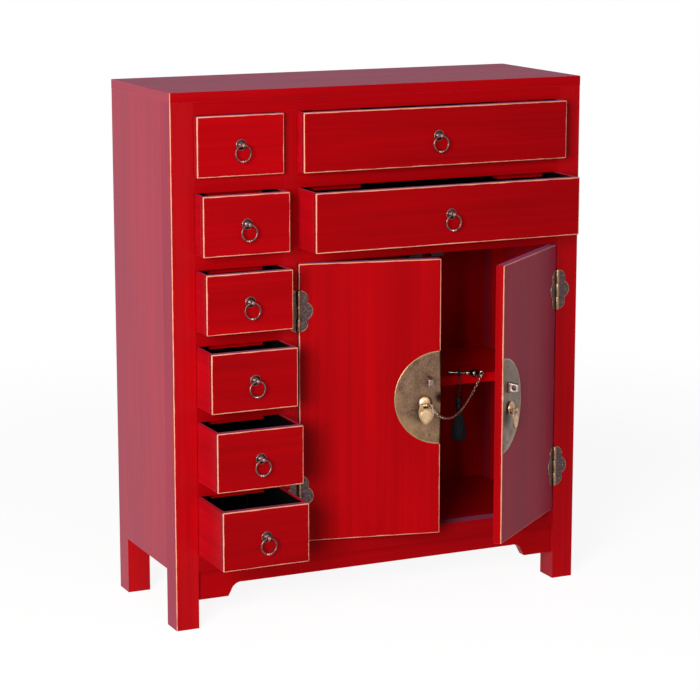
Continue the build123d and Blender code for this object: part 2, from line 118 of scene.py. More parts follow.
def gridPart(grid, closeRows=False, closeColumns=True, slot=0, smooth=True, extra=None):
    # quads between neighbours of a (rows, columns, 3) grid of points, wrapped where it closes
    rows, columns = grid.shape[:2]
    r = np.arange(rows if closeRows else rows - 1)[:, None]
    c = np.arange(columns if closeColumns else columns - 1)[None, :]
    r1, c1 = (r + 1) % rows, (c + 1) % columns
    corners = (r * columns + c, r * columns + c1, r1 * columns + c1, r1 * columns + c)
    faces = np.stack(np.broadcast_arrays(*corners), axis=-1).reshape(-1, 4)
    slots = np.broadcast_to(np.asarray(slot), (len(faces),)).astype(np.int32)
    flags = np.broadcast_to(np.asarray(smooth), (len(faces),)).astype(bool)
    extra = extra or {}
    made = {key: np.asarray(values, float).reshape(rows * columns, -1) for key, values in extra.items()}
    return {"points": grid.reshape(-1, 3), "faces": faces, "slots": slots, "smooth": flags, "extra": made}


def joinGrids(parts):
    # one set of arrays from several parts, each part's faces numbered on from the part before it
    starts = np.cumsum([0] + [len(part["points"]) for part in parts[:-1]])
    whole = {key: np.concatenate([part[key] for part in parts]) for key in ("points", "slots", "smooth")}
    whole["faces"] = np.concatenate([part["faces"] + start for part, start in zip(parts, starts)])
    keys = parts[0]["extra"]
    whole["extra"] = {key: np.concatenate([part["extra"][key] for part in parts]) for key in keys}
    return whole


def placeObject(name, mesh, body, nodes=()):
    obj = bpy.data.objects.new(name, mesh)
    bpy.context.scene.collection.objects.link(obj)
    if body:
        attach(obj, body)
    if nodes:
        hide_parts(*nodes)
    return obj


def buildPiece(name, parts, materials, body, nodes=()):
    # puts the arrays into a mesh, merges poles and seams and turns the faces outward
    whole = joinGrids(parts)
    mesh = bpy.data.meshes.new(name)
    mesh.from_pydata(whole["points"].tolist(), [], whole["faces"].tolist())
    # the materials come before the faces' numbers, because clearing them later would undo those
    for material in materials:
        mesh.materials.append(material)
    mesh.polygons.foreach_set("material_index", whole["slots"])
    mesh.polygons.foreach_set("use_smooth", whole["smooth"])
    for key, values in whole["extra"].items():
        kind, field = ("FLOAT", "value") if values.shape[1] == 1 else ("FLOAT_VECTOR", "vector")
        attribute = mesh.attributes.new(key, kind, "POINT")
        attribute.data.foreach_set(field, values.astype(np.float32).ravel())
    work = bmesh.new()
    work.from_mesh(mesh)
    bmesh.ops.remove_doubles(work, verts=work.verts, dist=1e-7)
    bmesh.ops.dissolve_degenerate(work, edges=work.edges, dist=1e-8)
    bmesh.ops.recalc_face_normals(work, faces=work.faces)
    work.to_mesh(mesh)
    work.free()
    return placeObject(name, mesh, body, nodes)


def capOpen(obj):
    # closes flat openings, such as a half disc's straight side, with one face each
    work = bmesh.new()
    work.from_mesh(obj.data)
    bmesh.ops.holes_fill(work, edges=[e for e in work.edges if e.is_boundary], sides=0)
    bmesh.ops.recalc_face_normals(work, faces=work.faces)
    work.to_mesh(obj.data)
    work.free()


def turnAbout(points, pivot, axis, degrees):
    spin = np.array(Matrix.Rotation(math.radians(degrees), 3, Vector(axis)))
    return (points - pivot) @ spin.T + pivot


def mirrored(points, x):
    points = points.copy()
    points[:, 0] = 2 * x - points[:, 0]
    return points


def moved(part, change):
    part["points"] = change(part["points"])
    return part


def toMetres(parts):
    return [moved(part, lambda points: points * mm) for part in parts]


# camera

cameraView = {
    "place": (-1.23047, -3.54621, 1.16362),
    "turnRight": 0.43436,  # radians
    "lookDown": 0.18833,
    "lensMm": 121.909,
    "sensorMm": 36,
    "shiftY": -0.05,
    "farEnd": 60,
}
cameraData = bpy.data.cameras.new("camera")
camera = bpy.data.objects.new("camera", cameraData)
bpy.context.scene.collection.objects.link(camera)
camera.location = cameraView["place"]
camera.rotation_euler = (math.pi / 2 - cameraView["lookDown"], 0, -cameraView["turnRight"])
cameraData.lens = cameraView["lensMm"]
cameraData.sensor_width = cameraView["sensorMm"]
cameraData.shift_y = cameraView["shiftY"]
cameraData.clip_end = cameraView["farEnd"]
bpy.context.scene.camera = camera
bpy.context.scene.view_settings.view_transform = "Standard"
print("camera set")


# studio: pale floor, white surroundings, soft lamps

studio = {
    "floorSize": 30.0,
    "floorPaint": 0.24,  # what eyes and mirrors see of the floor's own shading, so that shadows show
    "floorGlow": 0.90,  # and what is added so that the floor ends up white
    "floorMiddle": (0.35, -0.2),  # under the cabinet
    "floorFade": (0.9, 2.2),  # distance from there over which the floor turns plain white, in metres
    "floorColour": "cdccca",
    "white": [1, 1, 1, 1],
    "ambient": 0.085,
    "lamps": {
        # name: (place, aimed at, width, height, watts, colour)
        "windowLeft": ((-2.58, -3.4, 1.36), (0.3, -0.2, 0.45), 1.7, 1.9, 178.0, "fffdfa"),
        "frontSoft": ((0.1, -4.6, 1.9), (0.35, -0.26, 0.4), 2.2, 1.6, 22.0, "ffffff"),
        "overhead": ((0.2, -0.6, 3.4), (0.35, -0.2, 0.4), 2.6, 2.0, 3.0, "f4f4ff"),
    },
}


def seenItself(tree):
    # 1 for the rays that show a surface itself: to the camera, in a mirror and through glass
    path = addNode(tree, "LightPath")
    direct = {0: (path, "Is Camera Ray"), 1: (path, "Is Glossy Ray")}
    seen = addNode(tree, "Math", direct, operation="MAXIMUM")
    return addNode(tree, "Math", {0: (seen, 0), 1: (path, "Is Transmission Ray")}, operation="MAXIMUM")


def makeFloor():
    size = studio["floorSize"] / 2
    mesh = bpy.data.meshes.new("floor")
    corners = [(-size, -size, 0), (size, -size, 0), (size, size, 0), (-size, size, 0)]
    mesh.from_pydata(corners, [], [(0, 1, 2, 3)])
    floor = bpy.data.objects.new("floor", mesh)
    bpy.context.scene.collection.objects.link(floor)
    # matt painted studio floor
    material, tree = newMaterial("paintedStudioFloor")
    seenPaint = addNode(tree, "BsdfDiffuse", {"Color": [studio["floorPaint"]] * 3 + [1]})
    glow = addNode(tree, "Emission", {"Color": studio["white"], "Strength": studio["floorGlow"]})
    near = addNode(tree, "AddShader", {0: (seenPaint, 0), 1: (glow, 0)})
    # beyond the shadow's reach the floor runs out into the white of the surroundings
    x, y = studio["floorMiddle"]
    place = addNode(tree, "Mapping", {"Vector": objectPlace(tree), "Location": [-x, -y, 0]})
    away = addNode(tree, "VectorMath", {0: (place, 0)}, operation="LENGTH")
    start, end = studio["floorFade"]
    reach = {"Value": (away, "Value"), "From Min": start, "From Max": end}
    fade = addNode(tree, "MapRange", reach, interpolation_type="SMOOTHSTEP")
    plain = addNode(tree, "Emission", {"Color": studio["white"], "Strength": 1.0})
    shown = addNode(tree, "MixShader", {0: (fade, 0), 1: (near, 0), 2: (plain, 0)})
    paint = addNode(tree, "BsdfDiffuse", {"Color": colour(studio["floorColour"])})
    sides = {0: (seenItself(tree), 0), 1: (paint, 0), 2: (shown, 0)}
    finishMaterial(tree, addNode(tree, "MixShader", sides))
    dress(floor, material)


def makeSurroundings():
    world = bpy.data.worlds.new("studio")
    bpy.context.scene.world = world
    world.use_nodes = True
    tree = world.node_tree
    tree.nodes.clear()
    levels = {"Value": (seenItself(tree), 0), "To Min": studio["ambient"], "To Max": 1.0}
    strength = addNode(tree, "MapRange", levels)
    sky = addNode(tree, "Background", {"Color": studio["white"], "Strength": (strength, 0)})
    addNode(tree, "OutputWorld", {"Surface": (sky, 0)})


def makeLamps():
    for name, (place, aim, width, height, watts, tint) in studio["lamps"].items():
        data = bpy.data.lights.new(name, "AREA")
        data.shape = "RECTANGLE"
        data.size, data.size_y = width, height
        data.energy = watts
        data.color = colour(tint)[:3]
        lamp = bpy.data.objects.new(name, data)
        bpy.context.scene.collection.objects.link(lamp)
        lamp.location = place
        lamp.rotation_euler = (Vector(aim) - Vector(place)).to_track_quat("-Z", "Y").to_euler()


makeFloor()
makeSurroundings()
makeLamps()
print("studio made")


# lacquer

lacquer = {
    "deep": "b20109",  # where the lacquer lies thick in the grain
    "bright": "c2020b",
    "dark": "8c020c",  # fine lines of stain
    "undercoat": "ffb595",
    "undercoatWarm": "f0987c",
    "streakMm": 1.0,  # grain lines, drawn a little coarse so that they show
    "streakLengthMm": 150.0,
    "figureMm": 9.0,
    "figureLengthMm": 600.0,
    "cloudMm": 70.0,
    "cloudLengthMm": 420.0,
    "cloudShades": (0.8, 1.04),
    "veinShare": 0.13,
    "rough": (0.42, 0.34),  # in the grain's lines and between them
    "wornRough": 0.6,
    "wearMm": (0.75, 1.6),  # narrowest and widest worn line
    "wearChangeMm": 26.0,  # how soon the worn line changes its width
    "wearFade": (0.82, 1.12),  # where the line ends, as a share of its width
    "sheenTint": "b8a8f4",
    "sheenRough": 0.35,
    "bump": (0.12, 0.3 * mm),  # strength and depth
}
noiseSpan = {"From Min": 0.3, "From Max": 0.7}  # noise seldom leaves this


def grainCoordinates(tree, source, along, acrossMm, lengthMm):
    # stretches the pattern along the grain: one unit of noise is the line's width across, its length along
    scale = [1000 / acrossMm] * 3
    scale["xyz".index(along)] = 1000 / lengthMm
    return addNode(tree, "Mapping", {"Vector": source, "Scale": scale}), 0


def arrisDistance(tree, source, place):
    # distance to an upright arris, in mm: the larger of the distances along x and y
    parts = addNode(tree, "SeparateXYZ", {0: source})
    gaps = []
    for axis in (0, 1):
        gap = addNode(tree, "Math", {0: (parts, axis), 1: place[axis]}, operation="SUBTRACT")
        gaps.append((addNode(tree, "Math", {0: (gap, 0)}, operation="ABSOLUTE"), 0))
    larger = addNode(tree, "Math", {0: gaps[0], 1: gaps[1]}, operation="MAXIMUM")
    return addNode(tree, "Math", {0: (larger, 0), 1: 1000.0}, operation="MULTIPLY"), 0


def makeLacquer(name, along, worn=None, dull=0.0, tint=1.0, specular=0.05, sheen=0.3):
    # pigmented lacquer brushed over stained wood: a deep red skin whose grain still shows through in
    # fine lines, satin from rubbing, with arrises rubbed back to a peach undercoat.
    # worn: "attribute" on the pieces below, or the place (x, y) of an upright arris on a frame's board
    q = lacquer
    material, tree = newMaterial(name)
    if worn == "attribute":
        source = addNode(tree, "Attribute", attribute_name="boardPlace"), "Vector"
    else:
        source = objectPlace(tree)
    fine = grainCoordinates(tree, source, along, q["streakMm"], q["streakLengthMm"])
    lines = addNode(tree, "TexNoise", {"Vector": fine, "Scale": 1.0, "Detail": 3.0, "Roughness": 0.6})
    wide = grainCoordinates(tree, source, along, q["figureMm"], q["figureLengthMm"])
    figure = addNode(tree, "TexNoise", {"Vector": wide, "Scale": 1.0, "Detail": 2.0, "Distortion": 0.4})
    broad = grainCoordinates(tree, source, along, q["cloudMm"], q["cloudLengthMm"])
    clouds = addNode(tree, "TexNoise", {"Vector": broad, "Scale": 1.0, "Detail": 2.0})
    reds = [(0.3, colour(q["deep"])), (0.7, colour(q["bright"]))]
    base = addNode(tree, "ValToRGB", {0: (figure, 0)}, stops=reds)
    veins = addNode(tree, "ValToRGB", {0: (lines, 0)}, stops=[(0.34, q["veinShare"]), (0.52, 0.0)])
    stain = {"Factor": (veins, 0), 6: (base, 0), 7: colour(q["dark"])}
    streaked = addNode(tree, "Mix", stain, data_type="RGBA")
    dim, full = [shade * tint for shade in q["cloudShades"]]
    cloudy = addNode(tree, "ValToRGB", {0: (clouds, 0)}, stops=[(0.3, dim), (0.7, full)])
    shaded = {"Factor": 1.0, 6: (streaked, 2), 7: (cloudy, 0)}
    skin = addNode(tree, "Mix", shaded, data_type="RGBA", blend_type="MULTIPLY")
    inLines, between = [level + dull for level in q["rough"]]
    levels = {"Value": (lines, 0), "To Min": inLines, "To Max": between, **noiseSpan}
    rough = addNode(tree, "MapRange", levels)
    if worn:
        if worn == "attribute":
            distance = addNode(tree, "Attribute", attribute_name="edgeDistance"), "Fac"
        else:
            distance = arrisDistance(tree, source, worn)
        change = {"Vector": source, "Scale": 1000 / q["wearChangeMm"], "Detail": 3.0}
        slow = addNode(tree, "TexNoise", change)
        narrow, broadest = q["wearMm"]
        widths = {"Value": (slow, 0), "To Min": narrow, "To Max": broadest, **noiseSpan}
        reach = addNode(tree, "MapRange", widths)
        ratio = addNode(tree, "Math", {0: distance, 1: (reach, 0)}, operation="DIVIDE")
        start, end = q["wearFade"]
        edge = {"Value": (ratio, 0), "From Min": start, "From Max": end, "To Min": 1.0, "To Max": 0.0}
        mask = addNode(tree, "MapRange", edge, interpolation_type="SMOOTHSTEP")
        peach = [(0.35, colour(q["undercoatWarm"])), (0.6, colour(q["undercoat"]))]
        primer = addNode(tree, "ValToRGB", {0: (lines, 0)}, stops=peach)
        rubbedThrough = {"Factor": (mask, 0), 6: (skin, 2), 7: (primer, 0)}
        skin = addNode(tree, "Mix", rubbedThrough, data_type="RGBA")
        levels = {"Value": (mask, 0), "To Min": (rough, 0), "To Max": q["wornRough"]}
        rough = addNode(tree, "MapRange", levels)
    strength, depth = q["bump"]
    bump = addNode(tree, "Bump", {"Height": (lines, 0), "Strength": strength, "Distance": depth})
    shader = addNode(
        tree,
        "BsdfPrincipled",
        {
            "Base Color": (skin, 2),
            "Roughness": (rough, 0),
            "IOR": 1.5,
            "Specular IOR Level": specular,
            "Sheen Weight": sheen,
            "Sheen Roughness": q["sheenRough"],
            "Sheen Tint": colour(q["sheenTint"]),
            "Normal": (bump, 0),
        },
    )
    finishMaterial(tree, shader)
    return material


blackStainAndGapShade = {
    "deep": "050404",
    "pale": "0f0a09",
    "lineMm": 1.8,
    "lineLengthMm": 60.0,
    "rough": 0.9,
    "specular": 0.04,
}


def makeBlackStainAndGapShade(name, onAttribute):
    # black stain brushed on bare board: nearly no shine, faint brush lines. On the runners this black is
    # painted shade for the dark gaps round the drawers
    q = blackStainAndGapShade
    material, tree = newMaterial(name)
    if onAttribute:
        place = addNode(tree, "Attribute", attribute_name="boardPlace"), "Vector"
    else:
        place = objectPlace(tree)
    fine = grainCoordinates(tree, place, "y", q["lineMm"], q["lineLengthMm"])
    lines = addNode(tree, "TexNoise", {"Vector": fine, "Scale": 1.0, "Detail": 3.0})
    blacks = [(0.3, colour(q["deep"])), (0.7, colour(q["pale"]))]
    shade = addNode(tree, "ValToRGB", {0: (lines, 0)}, stops=blacks)
    finish = {"Base Color": (shade, 0), "Roughness": q["rough"], "Specular IOR Level": q["specular"]}
    finishMaterial(tree, addNode(tree, "BsdfPrincipled", finish))
    return material


doorLacquer = {
    "left": makeLacquer("crimsonLacquerLeftDoor", "z", "attribute", tint=0.96),
    "right": makeLacquer("crimsonLacquerRightDoor", "z", "attribute", tint=0.95, specular=0.04, sheen=0.25),
}
# the fronts of the upper small drawers are paler than those of the lower ones and of the wide drawers
frontLacquer = {
    "pale": makeLacquer("crimsonLacquerPaleFront", "x", "attribute"),
    "deep": makeLacquer("crimsonLacquerDeepFront", "x", "attribute", tint=0.81),
}
# painted light: the drawer boxes are tinted 1.3, brighter than the carcass, for the strong light on their
# sides
litBoxLacquer = makeLacquer("litCrimsonLacquerDrawerSide", "y", "attribute", tint=1.3, specular=0.03, sheen=0.1)
blackInside = makeBlackStainAndGapShade("blackStainedBoard", True)
gapShadeRunner = makeBlackStainAndGapShade("gapShadeBlackRunner", False)
print("lacquer made")


# boards with softened arrises

arrisSteps = 4
unworn = 99  # a distance in mm that no worn line reaches


def boardPart(origin, across, up, deep, size, arris, slots=(0, 0, 0), turn=None, edgeWorn=True):
    # rings of a rectangle: each ring is the outline drawn in by an inset at a depth. The insets run from the
    # front's ridge out to a quarter round, down the sides, round again and in to the back's ridge
    wide, tall, thick = size
    ridge = min(wide, tall) / 2
    quarter = np.linspace(0, np.pi / 2, arrisSteps + 1)
    roundIn, roundOut = arris * (1 - np.sin(quarter)), arris * (1 - np.cos(quarter))
    insets = np.concatenate([[ridge], roundIn, roundIn[::-1], [ridge]])
    depths = np.concatenate([[0], roundOut, thick - roundOut[::-1], [thick]])
    count = len(insets)
    # distance over the surface from the middle of the front's arris
    run = np.concatenate([[0], np.cumsum(np.hypot(np.diff(insets), np.diff(depths)))])
    fromArris = np.abs(run - np.interp(1 + arrisSteps / 2, np.arange(count), run)) / mm
    corner = np.linspace(0, np.pi / 2, 3)
    x0, x1 = insets, wide - insets
    y0, y1 = insets, tall - insets
    softness = np.maximum(arris - insets, 0)
    rings = []
    for cx, cy, start in ((x1, y1, 0), (x0, y1, 1), (x0, y0, 2), (x1, y0, 3)):
        a = corner + start * np.pi / 2
        sx, sy = (-1 if start in (0, 3) else 1), (-1 if start in (0, 1) else 1)
        px = (cx + sx * softness)[:, None] + softness[:, None] * np.cos(a)
        py = (cy + sy * softness)[:, None] + softness[:, None] * np.sin(a)
        rings.append(np.stack([px, py], axis=-1))
    flat = np.concatenate(rings, axis=1)
    place = np.asarray(origin) + flat[..., :1] * np.asarray(across) + flat[..., 1:] * np.asarray(up)
    place = place + depths[:, None, None] * np.asarray(deep)
    columns = place.shape[1]
    distance = np.repeat(fromArris[:, None] if edgeWorn else np.full((count, 1), unworn), columns, axis=1)
    grid = turnAbout(place.reshape(-1, 3), *turn).reshape(place.shape) if turn else place
    strip = np.arange(count - 1)
    slotOf = np.where(strip == 0, slots[0], np.where(strip == count - 2, slots[2], slots[1]))
    smoothOf = (strip > 0) & (strip < count - 2) & (strip != 1 + arrisSteps)
    return gridPart(
        grid,
        slot=np.repeat(slotOf, columns),
        smooth=np.repeat(smoothOf, columns),
        extra={"boardPlace": place, "edgeDistance": distance},
    )


# drawers

drawerBoards = {
    "front": 12 * mm,
    "side": 6 * mm,
    "back": 6 * mm,
    "bottom": 4 * mm,
    "backDrop": 12 * mm,
    "frontArris": 1.3 * mm,
    "boxArris": 0.5 * mm,
    "bottomArris": 0.2 * mm,
}
smallDrawers = [f"small_drawer_{i + 1}" for i in range(6)]
wideDrawers = [f"wide_drawer_{i + 1}" for i in range(2)]


def makeDrawer(node):
    low, high = [np.array(corner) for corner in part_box(node)]
    b = drawerBoards
    wide, tall = high[0] - low[0], high[2] - low[2]
    face = boardPart(low, xAxis, zAxis, yAxis, (wide, tall, b["front"]), b["frontArris"], slots=(0, 0, 1))
    stain = frontLacquer["pale" if node in smallDrawers[:3] else "deep"]
    buildPiece(node + "_face", [face], (stain, blackInside), node, [node])
    # sides, back and bottom, each with its first face black and turned to the inside
    side, back, bottom, arris = b["side"], b["back"], b["bottom"], b["boxArris"]
    start = low + yAxis * b["front"]
    length, inner = high[1] - start[1], wide - 2 * side
    left, right = start + xAxis * side, start + xAxis * (wide - side)
    rear, floor = left + yAxis * (length - back), left + zAxis * bottom
    boards = (
        (left, yAxis, zAxis, -xAxis, (length, tall, side), arris),
        (right, yAxis, zAxis, xAxis, (length, tall, side), arris),
        (rear, xAxis, zAxis, yAxis, (inner, tall - b["backDrop"], back), arris),
        (floor, xAxis, yAxis, -zAxis, (inner, length - back, bottom), b["bottomArris"]),
    )
    parts = [boardPart(*board, slots=(1, 0, 0), edgeWorn=False) for board in boards]
    buildPiece(node + "_box", parts, (litBoxLacquer, blackInside), node)


for drawerNode in smallDrawers + wideDrawers:
    makeDrawer(drawerNode)
print("drawers made")


# doors

doors = {
    "low": 118.5 * mm,
    "high": 559.5 * mm,
    "front": -260 * mm,
    "thick": 14 * mm,
    "width": 226.75 * mm,
    "arris": 1.4 * mm,
    # free or hinged left edge when closed, and how far it stands open
    "left": (206.5 * mm, -12.0),
    "right": (434.75 * mm, 40.0),
}
bothSides = ("left", "right")
doorTurn = {side: (jointPlace[side + "_door_hinge"], (0, 0, 1), doors[side][1]) for side in bothSides}


def makeDoor(side):
    corner = (doors[side][0], doors["front"], doors["low"])
    size = (doors["width"], doors["high"] - doors["low"], doors["thick"])
    board = boardPart(corner, xAxis, zAxis, yAxis, size, doors["arris"], turn=doorTurn[side])
    nodes = [side + "_door_panel"]
    buildPiece(side + "_door_board", [board], (doorLacquer[side],), side + "_door", nodes)


for side in bothSides:
    makeDoor(side)
print("doors made")


# carcass: the frame's own boards with lacquer, and a top board with an end of its own

matt = {"dull": 0.2, "specular": 0.02, "sheen": 0.0}
glossySide = {"specular": 0.17, "sheen": 0.7}
nearArris = tuple(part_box("front_post_left")[0])[:2]  # rubbed through
carcass = {
    # material: (grain, its settings, the frame's nodes that wear it)
    "crimsonLacquerUpright": (
        "z",
        {"tint": 0.95, "specular": 0.08, "sheen": 0.6},
        ("front_post_right", "rear_post_right", "side_panel_right", "centre_stile"),
    ),
    "crimsonLacquerAcross": ("x", {"tint": 0.92}, ("top_rail", "drawer_rails")),
    "crimsonLacquerLowRail": ("x", {"tint": 0.84}, ("bottom_rail", "apron")),
    "crimsonLacquerPost": (
        "z",
        {"worn": nearArris, "tint": 0.96, "specular": 0.11, "sheen": 0.8},
        ("front_post_left",),
    ),
    # painted light: the left side and its rear post are tinted 1.12, against 0.95 on the right side, for the
    # lamp on the left that lights them
    "litCrimsonLacquerSide": ("z", {"tint": 1.12, **glossySide}, ("side_panel_left", "rear_post_left")),
    "mattCrimsonLacquerUpright": ("z", {"tint": 0.95, **matt}, ("back_panel", "partition")),
    "mattCrimsonLacquerAcross": ("x", {"tint": 0.95, **matt}, ("bottom_board", "drawer_stops")),
    "mattCrimsonLacquerEndwise": ("y", {"tint": 0.95, **matt}, ("shelf_cleats",)),
    # painted light: the shelf is tinted 1.5 so that its front edge shows as brightly lit inside the cupboard
    "litMattCrimsonLacquerShelf": ("x", {"tint": 1.5, **matt}, ("shelf",)),
}
topArris = 0.3 * mm


def makeTop():
    # rubbed dull on its face, glossy at its end, and its near upright arris rubbed through
    low, high = [np.array(corner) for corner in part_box("top_panel")]
    corner = (low[0], low[1], high[2])
    board = boardPart(corner, xAxis, yAxis, -zAxis, high - low, topArris, slots=(0, 1, 1))
    points = board["points"]
    board["extra"]["edgeDistance"] = np.abs(points[:, :2] - low[:2]).max(axis=1)[:, None] / mm
    centres = points[board["faces"]].mean(axis=1)
    board["slots"] = np.where(centres[:, 0] < low[0] + topArris, 2, board["slots"])
    finishes = (
        makeLacquer("crimsonLacquerTop", "x", dull=0.1, specular=0.025, sheen=0.1),
        makeLacquer("crimsonLacquerTopEdge", "x", "attribute", tint=0.92),
        # painted light: the top's left end takes the brighter tint of the lit side below it
        makeLacquer("litCrimsonLacquerTopEnd", "y", "attribute", tint=1.1, **glossySide),
    )
    buildPiece("top_board", [board], finishes, "cabinet", ["top_panel"])


for name, (along, settings, nodes) in carcass.items():
    boardLacquer = makeLacquer(name, along, **settings)
    for node in nodes:
        dress(frame["nodes"][node], boardLacquer)
# painted shade: the runners are black so that the gaps round the drawers read as dark
dress(frame["nodes"]["drawer_runners"], gapShadeRunner)
makeTop()
print("carcass dressed")


# metals, plastic and thread

metal = {
    # the near-black of painted shade and soiling, mixed into the metals in bores and at the chain links'
    # ends
    "shadeAndSoilColour": "0d0706",
    "bumpMm": 0.02,
    "scratchLengthMm": 30,
    # turn of each set of scratches in the plane of the doors, and the shade that it shows
    "scratches": ((0.75, "rubbed"), (-0.6, "dark"), (1.25, "rubbed"), (-1.1, "dark"), (0.3, "light")),
}


def makeMetal(name, dark, light, rubbed, rough, blotchMm, tarnish=0.5, scratchMm=None):
    # cast or rolled alloy: patina lies in soft blotches, and handling has polished what stands out.
    # rubbed: the colour of bare metal where the piece's own rub attribute says that it is polished
    shades = {"dark": colour(dark), "light": colour(light), "rubbed": colour(rubbed)}
    material, tree = newMaterial(name)
    source = objectPlace(tree)
    patches = {"Vector": source, "Scale": 1000 / blotchMm, "Detail": 6.0, "Roughness": 0.62}
    blotches = addNode(tree, "TexNoise", patches)
    patina = [(0.5 - tarnish / 4, shades["dark"]), (0.5 + tarnish / 4, shades["light"])]
    finish = addNode(tree, "ValToRGB", {0: (blotches, 0)}, stops=patina), 0
    fine = addNode(tree, "TexNoise", {"Vector": source, "Scale": 1000 / (blotchMm / 7), "Detail": 3.0})
    levels = {"Value": (fine, 0), "To Min": rough[0], "To Max": rough[1], **noiseSpan}
    roughness = addNode(tree, "MapRange", levels)
    for turn, shade in metal["scratches"] if scratchMm else ():
        # fine scratches in several directions, light and dark: noise drawn out long and cut off high
        size = [scratchMm * mm, scratchMm * mm, metal["scratchLengthMm"] * mm]
        turned = {"Vector": source, "Rotation": [0, turn, 0], "Scale": size}
        laid = addNode(tree, "Mapping", turned, vector_type="TEXTURE")
        mark = addNode(tree, "TexNoise", {"Vector": (laid, 0), "Scale": 1.0, "Detail": 1.0})
        cut = addNode(tree, "ValToRGB", {0: (mark, 0)}, stops=[(0.58, 0.0), (0.70, 0.7)])
        finish = addNode(tree, "Mix", {"Factor": (cut, 0), 6: finish, 7: shades[shade]}, data_type="RGBA"), 2
    rub = addNode(tree, "Attribute", attribute_name="rub")
    broken = addNode(tree, "Math", {0: (rub, "Fac"), 1: (blotches, 0)}, operation="MULTIPLY")
    worn = addNode(tree, "MapRange", {"Value": (broken, 0), "From Min": 0.12, "From Max": 0.45})
    finish = addNode(tree, "Mix", {"Factor": (worn, 0), 6: finish, 7: shades["rubbed"]}, data_type="RGBA"), 2
    polished = {"Value": (worn, 0), "To Min": (roughness, 0), "To Max": rough[0] * 0.8}
    roughness = addNode(tree, "MapRange", polished)
    # painted shade and soiling: an attribute darkens the metal towards near-black where it lies in a bore or
    # where chain links bear on one another
    grime = addNode(tree, "Attribute", attribute_name="grime")
    shadedAndSoiled = {"Factor": (grime, "Fac"), 6: finish, 7: colour(metal["shadeAndSoilColour"])}
    finish = addNode(tree, "Mix", shadedAndSoiled, data_type="RGBA"), 2
    bump = addNode(tree, "Bump", {"Height": (fine, 0), "Strength": 0.5, "Distance": metal["bumpMm"] * mm})
    look = {"Base Color": finish, "Metallic": 1.0, "Roughness": (roughness, 0), "Normal": (bump, 0)}
    finishMaterial(tree, addNode(tree, "BsdfPrincipled", look))
    return material


ringMetal = makeMetal("darkenedBronzeCasting", "261a1b", "5c4344", "a27e7a", (0.2, 0.36), 5.0, tarnish=0.8)
hingeMetal = makeMetal("antiqueBronzeSheet", "33272a", "6a5454", "96785a", (0.38, 0.55), 3.0, tarnish=0.7)
oldSheet = {"rough": (0.4, 0.55), "blotchMm": 19.0, "tarnish": 0.8, "scratchMm": 0.5}
plateMetal = {
    "left": makeMetal("agedBrassSheet", "4a3933", "836754", "a88661", **oldSheet),
    # the right door's plate is given a greyer brass than the left door's
    "right": makeMetal("greyerBrassSheet", "50423f", "7e6a60", "a08771", **oldSheet),
}
stapleMetal = makeMetal("castPewter", "64534e", "937d76", "b8a29b", (0.34, 0.5), 3.0)
brassMetal = {
    "left": makeMetal("satinBrassCasting", "a5825f", "c6a27c", "d6b68e", (0.34, 0.46), 8.0),
    # painted shade and painted reflection: the right door's knob and pendant are the same brass as the left
    # one's, drawn darker for the shade and the dark cabinet that it reflects
    "right": makeMetal("shadedBrassCasting", "80604a", "b08c6c", "c4a080", (0.34, 0.46), 6.0),
}
chainMetal = makeMetal("brassWire", "cfa888", "ecccaf", "fce8d0", (0.22, 0.34), 7.0)
pinMetal = makeMetal("blackenedSteelTurning", "2a2523", "787069", "d8d0c6", (0.14, 0.24), 4.0, tarnish=0.9)


def makePlastic():
    # black moulded ABS: even and slightly shiny
    material, tree = newMaterial("mouldedBlackAbs")
    grain = addNode(tree, "TexNoise", {"Vector": objectPlace(tree), "Scale": 1000 / 0.8, "Detail": 2.0})
    bump = addNode(tree, "Bump", {"Height": (grain, 0), "Strength": 0.3, "Distance": 0.02 * mm})
    blacks = [(0.3, colour("090909")), (0.7, colour("121110"))]
    shade = addNode(tree, "ValToRGB", {0: (grain, 0)}, stops=blacks)
    look = {"Base Color": (shade, 0), "Roughness": 0.42, "Normal": (bump, 0)}
    finishMaterial(tree, addNode(tree, "BsdfPrincipled", look))
    return material


def makeThread():
    # twisted rayon thread: nearly black, with a cold gleam along each strand
    material, tree = newMaterial("blackRayonThread")
    stretched = grainCoordinates(tree, objectPlace(tree), "z", 0.4, 10 / 3)
    fibres = addNode(tree, "TexNoise", {"Vector": stretched, "Scale": 1.0, "Detail": 2.0})
    blacks = [(0.35, colour("030507")), (0.65, colour("0d141c"))]
    shade = addNode(tree, "ValToRGB", {0: (fibres, 0)}, stops=blacks)
    look = {"Base Color": (shade, 0), "Roughness": 0.5, "Specular IOR Level": 0.25}
    gleam = {"Sheen Weight": 0.1, "Sheen Roughness": 0.4, "Sheen Tint": colour("8ba0bd")}
    finishMaterial(tree, addNode(tree, "BsdfPrincipled", {**look, **gleam}))
    return material


threadBlack = makeThread()
dress(frame["nodes"]["door_catches"], makePlastic())
print("metals made")


# turned, ringed and flat shapes, all drawn in mm


def turned(radii, heights, around, rub=0.0, axes=(xAxis, yAxis, zAxis), at=(0, 0, 0)):
    # surface of revolution: radius times cosine and sine of the angle, at each height of the profile
    radii, heights = [np.asarray(values, float)[:, None] for values in (radii, heights)]
    a = np.linspace(0, 2 * np.pi, around, endpoint=False)
    local = np.stack(np.broadcast_arrays(radii * np.cos(a), radii * np.sin(a), heights), axis=-1)
    rubs = np.broadcast_to(np.reshape(rub, (-1, 1)), local.shape[:2])
    return gridPart(np.asarray(at) + local @ np.array(axes), extra={"rub": rubs})


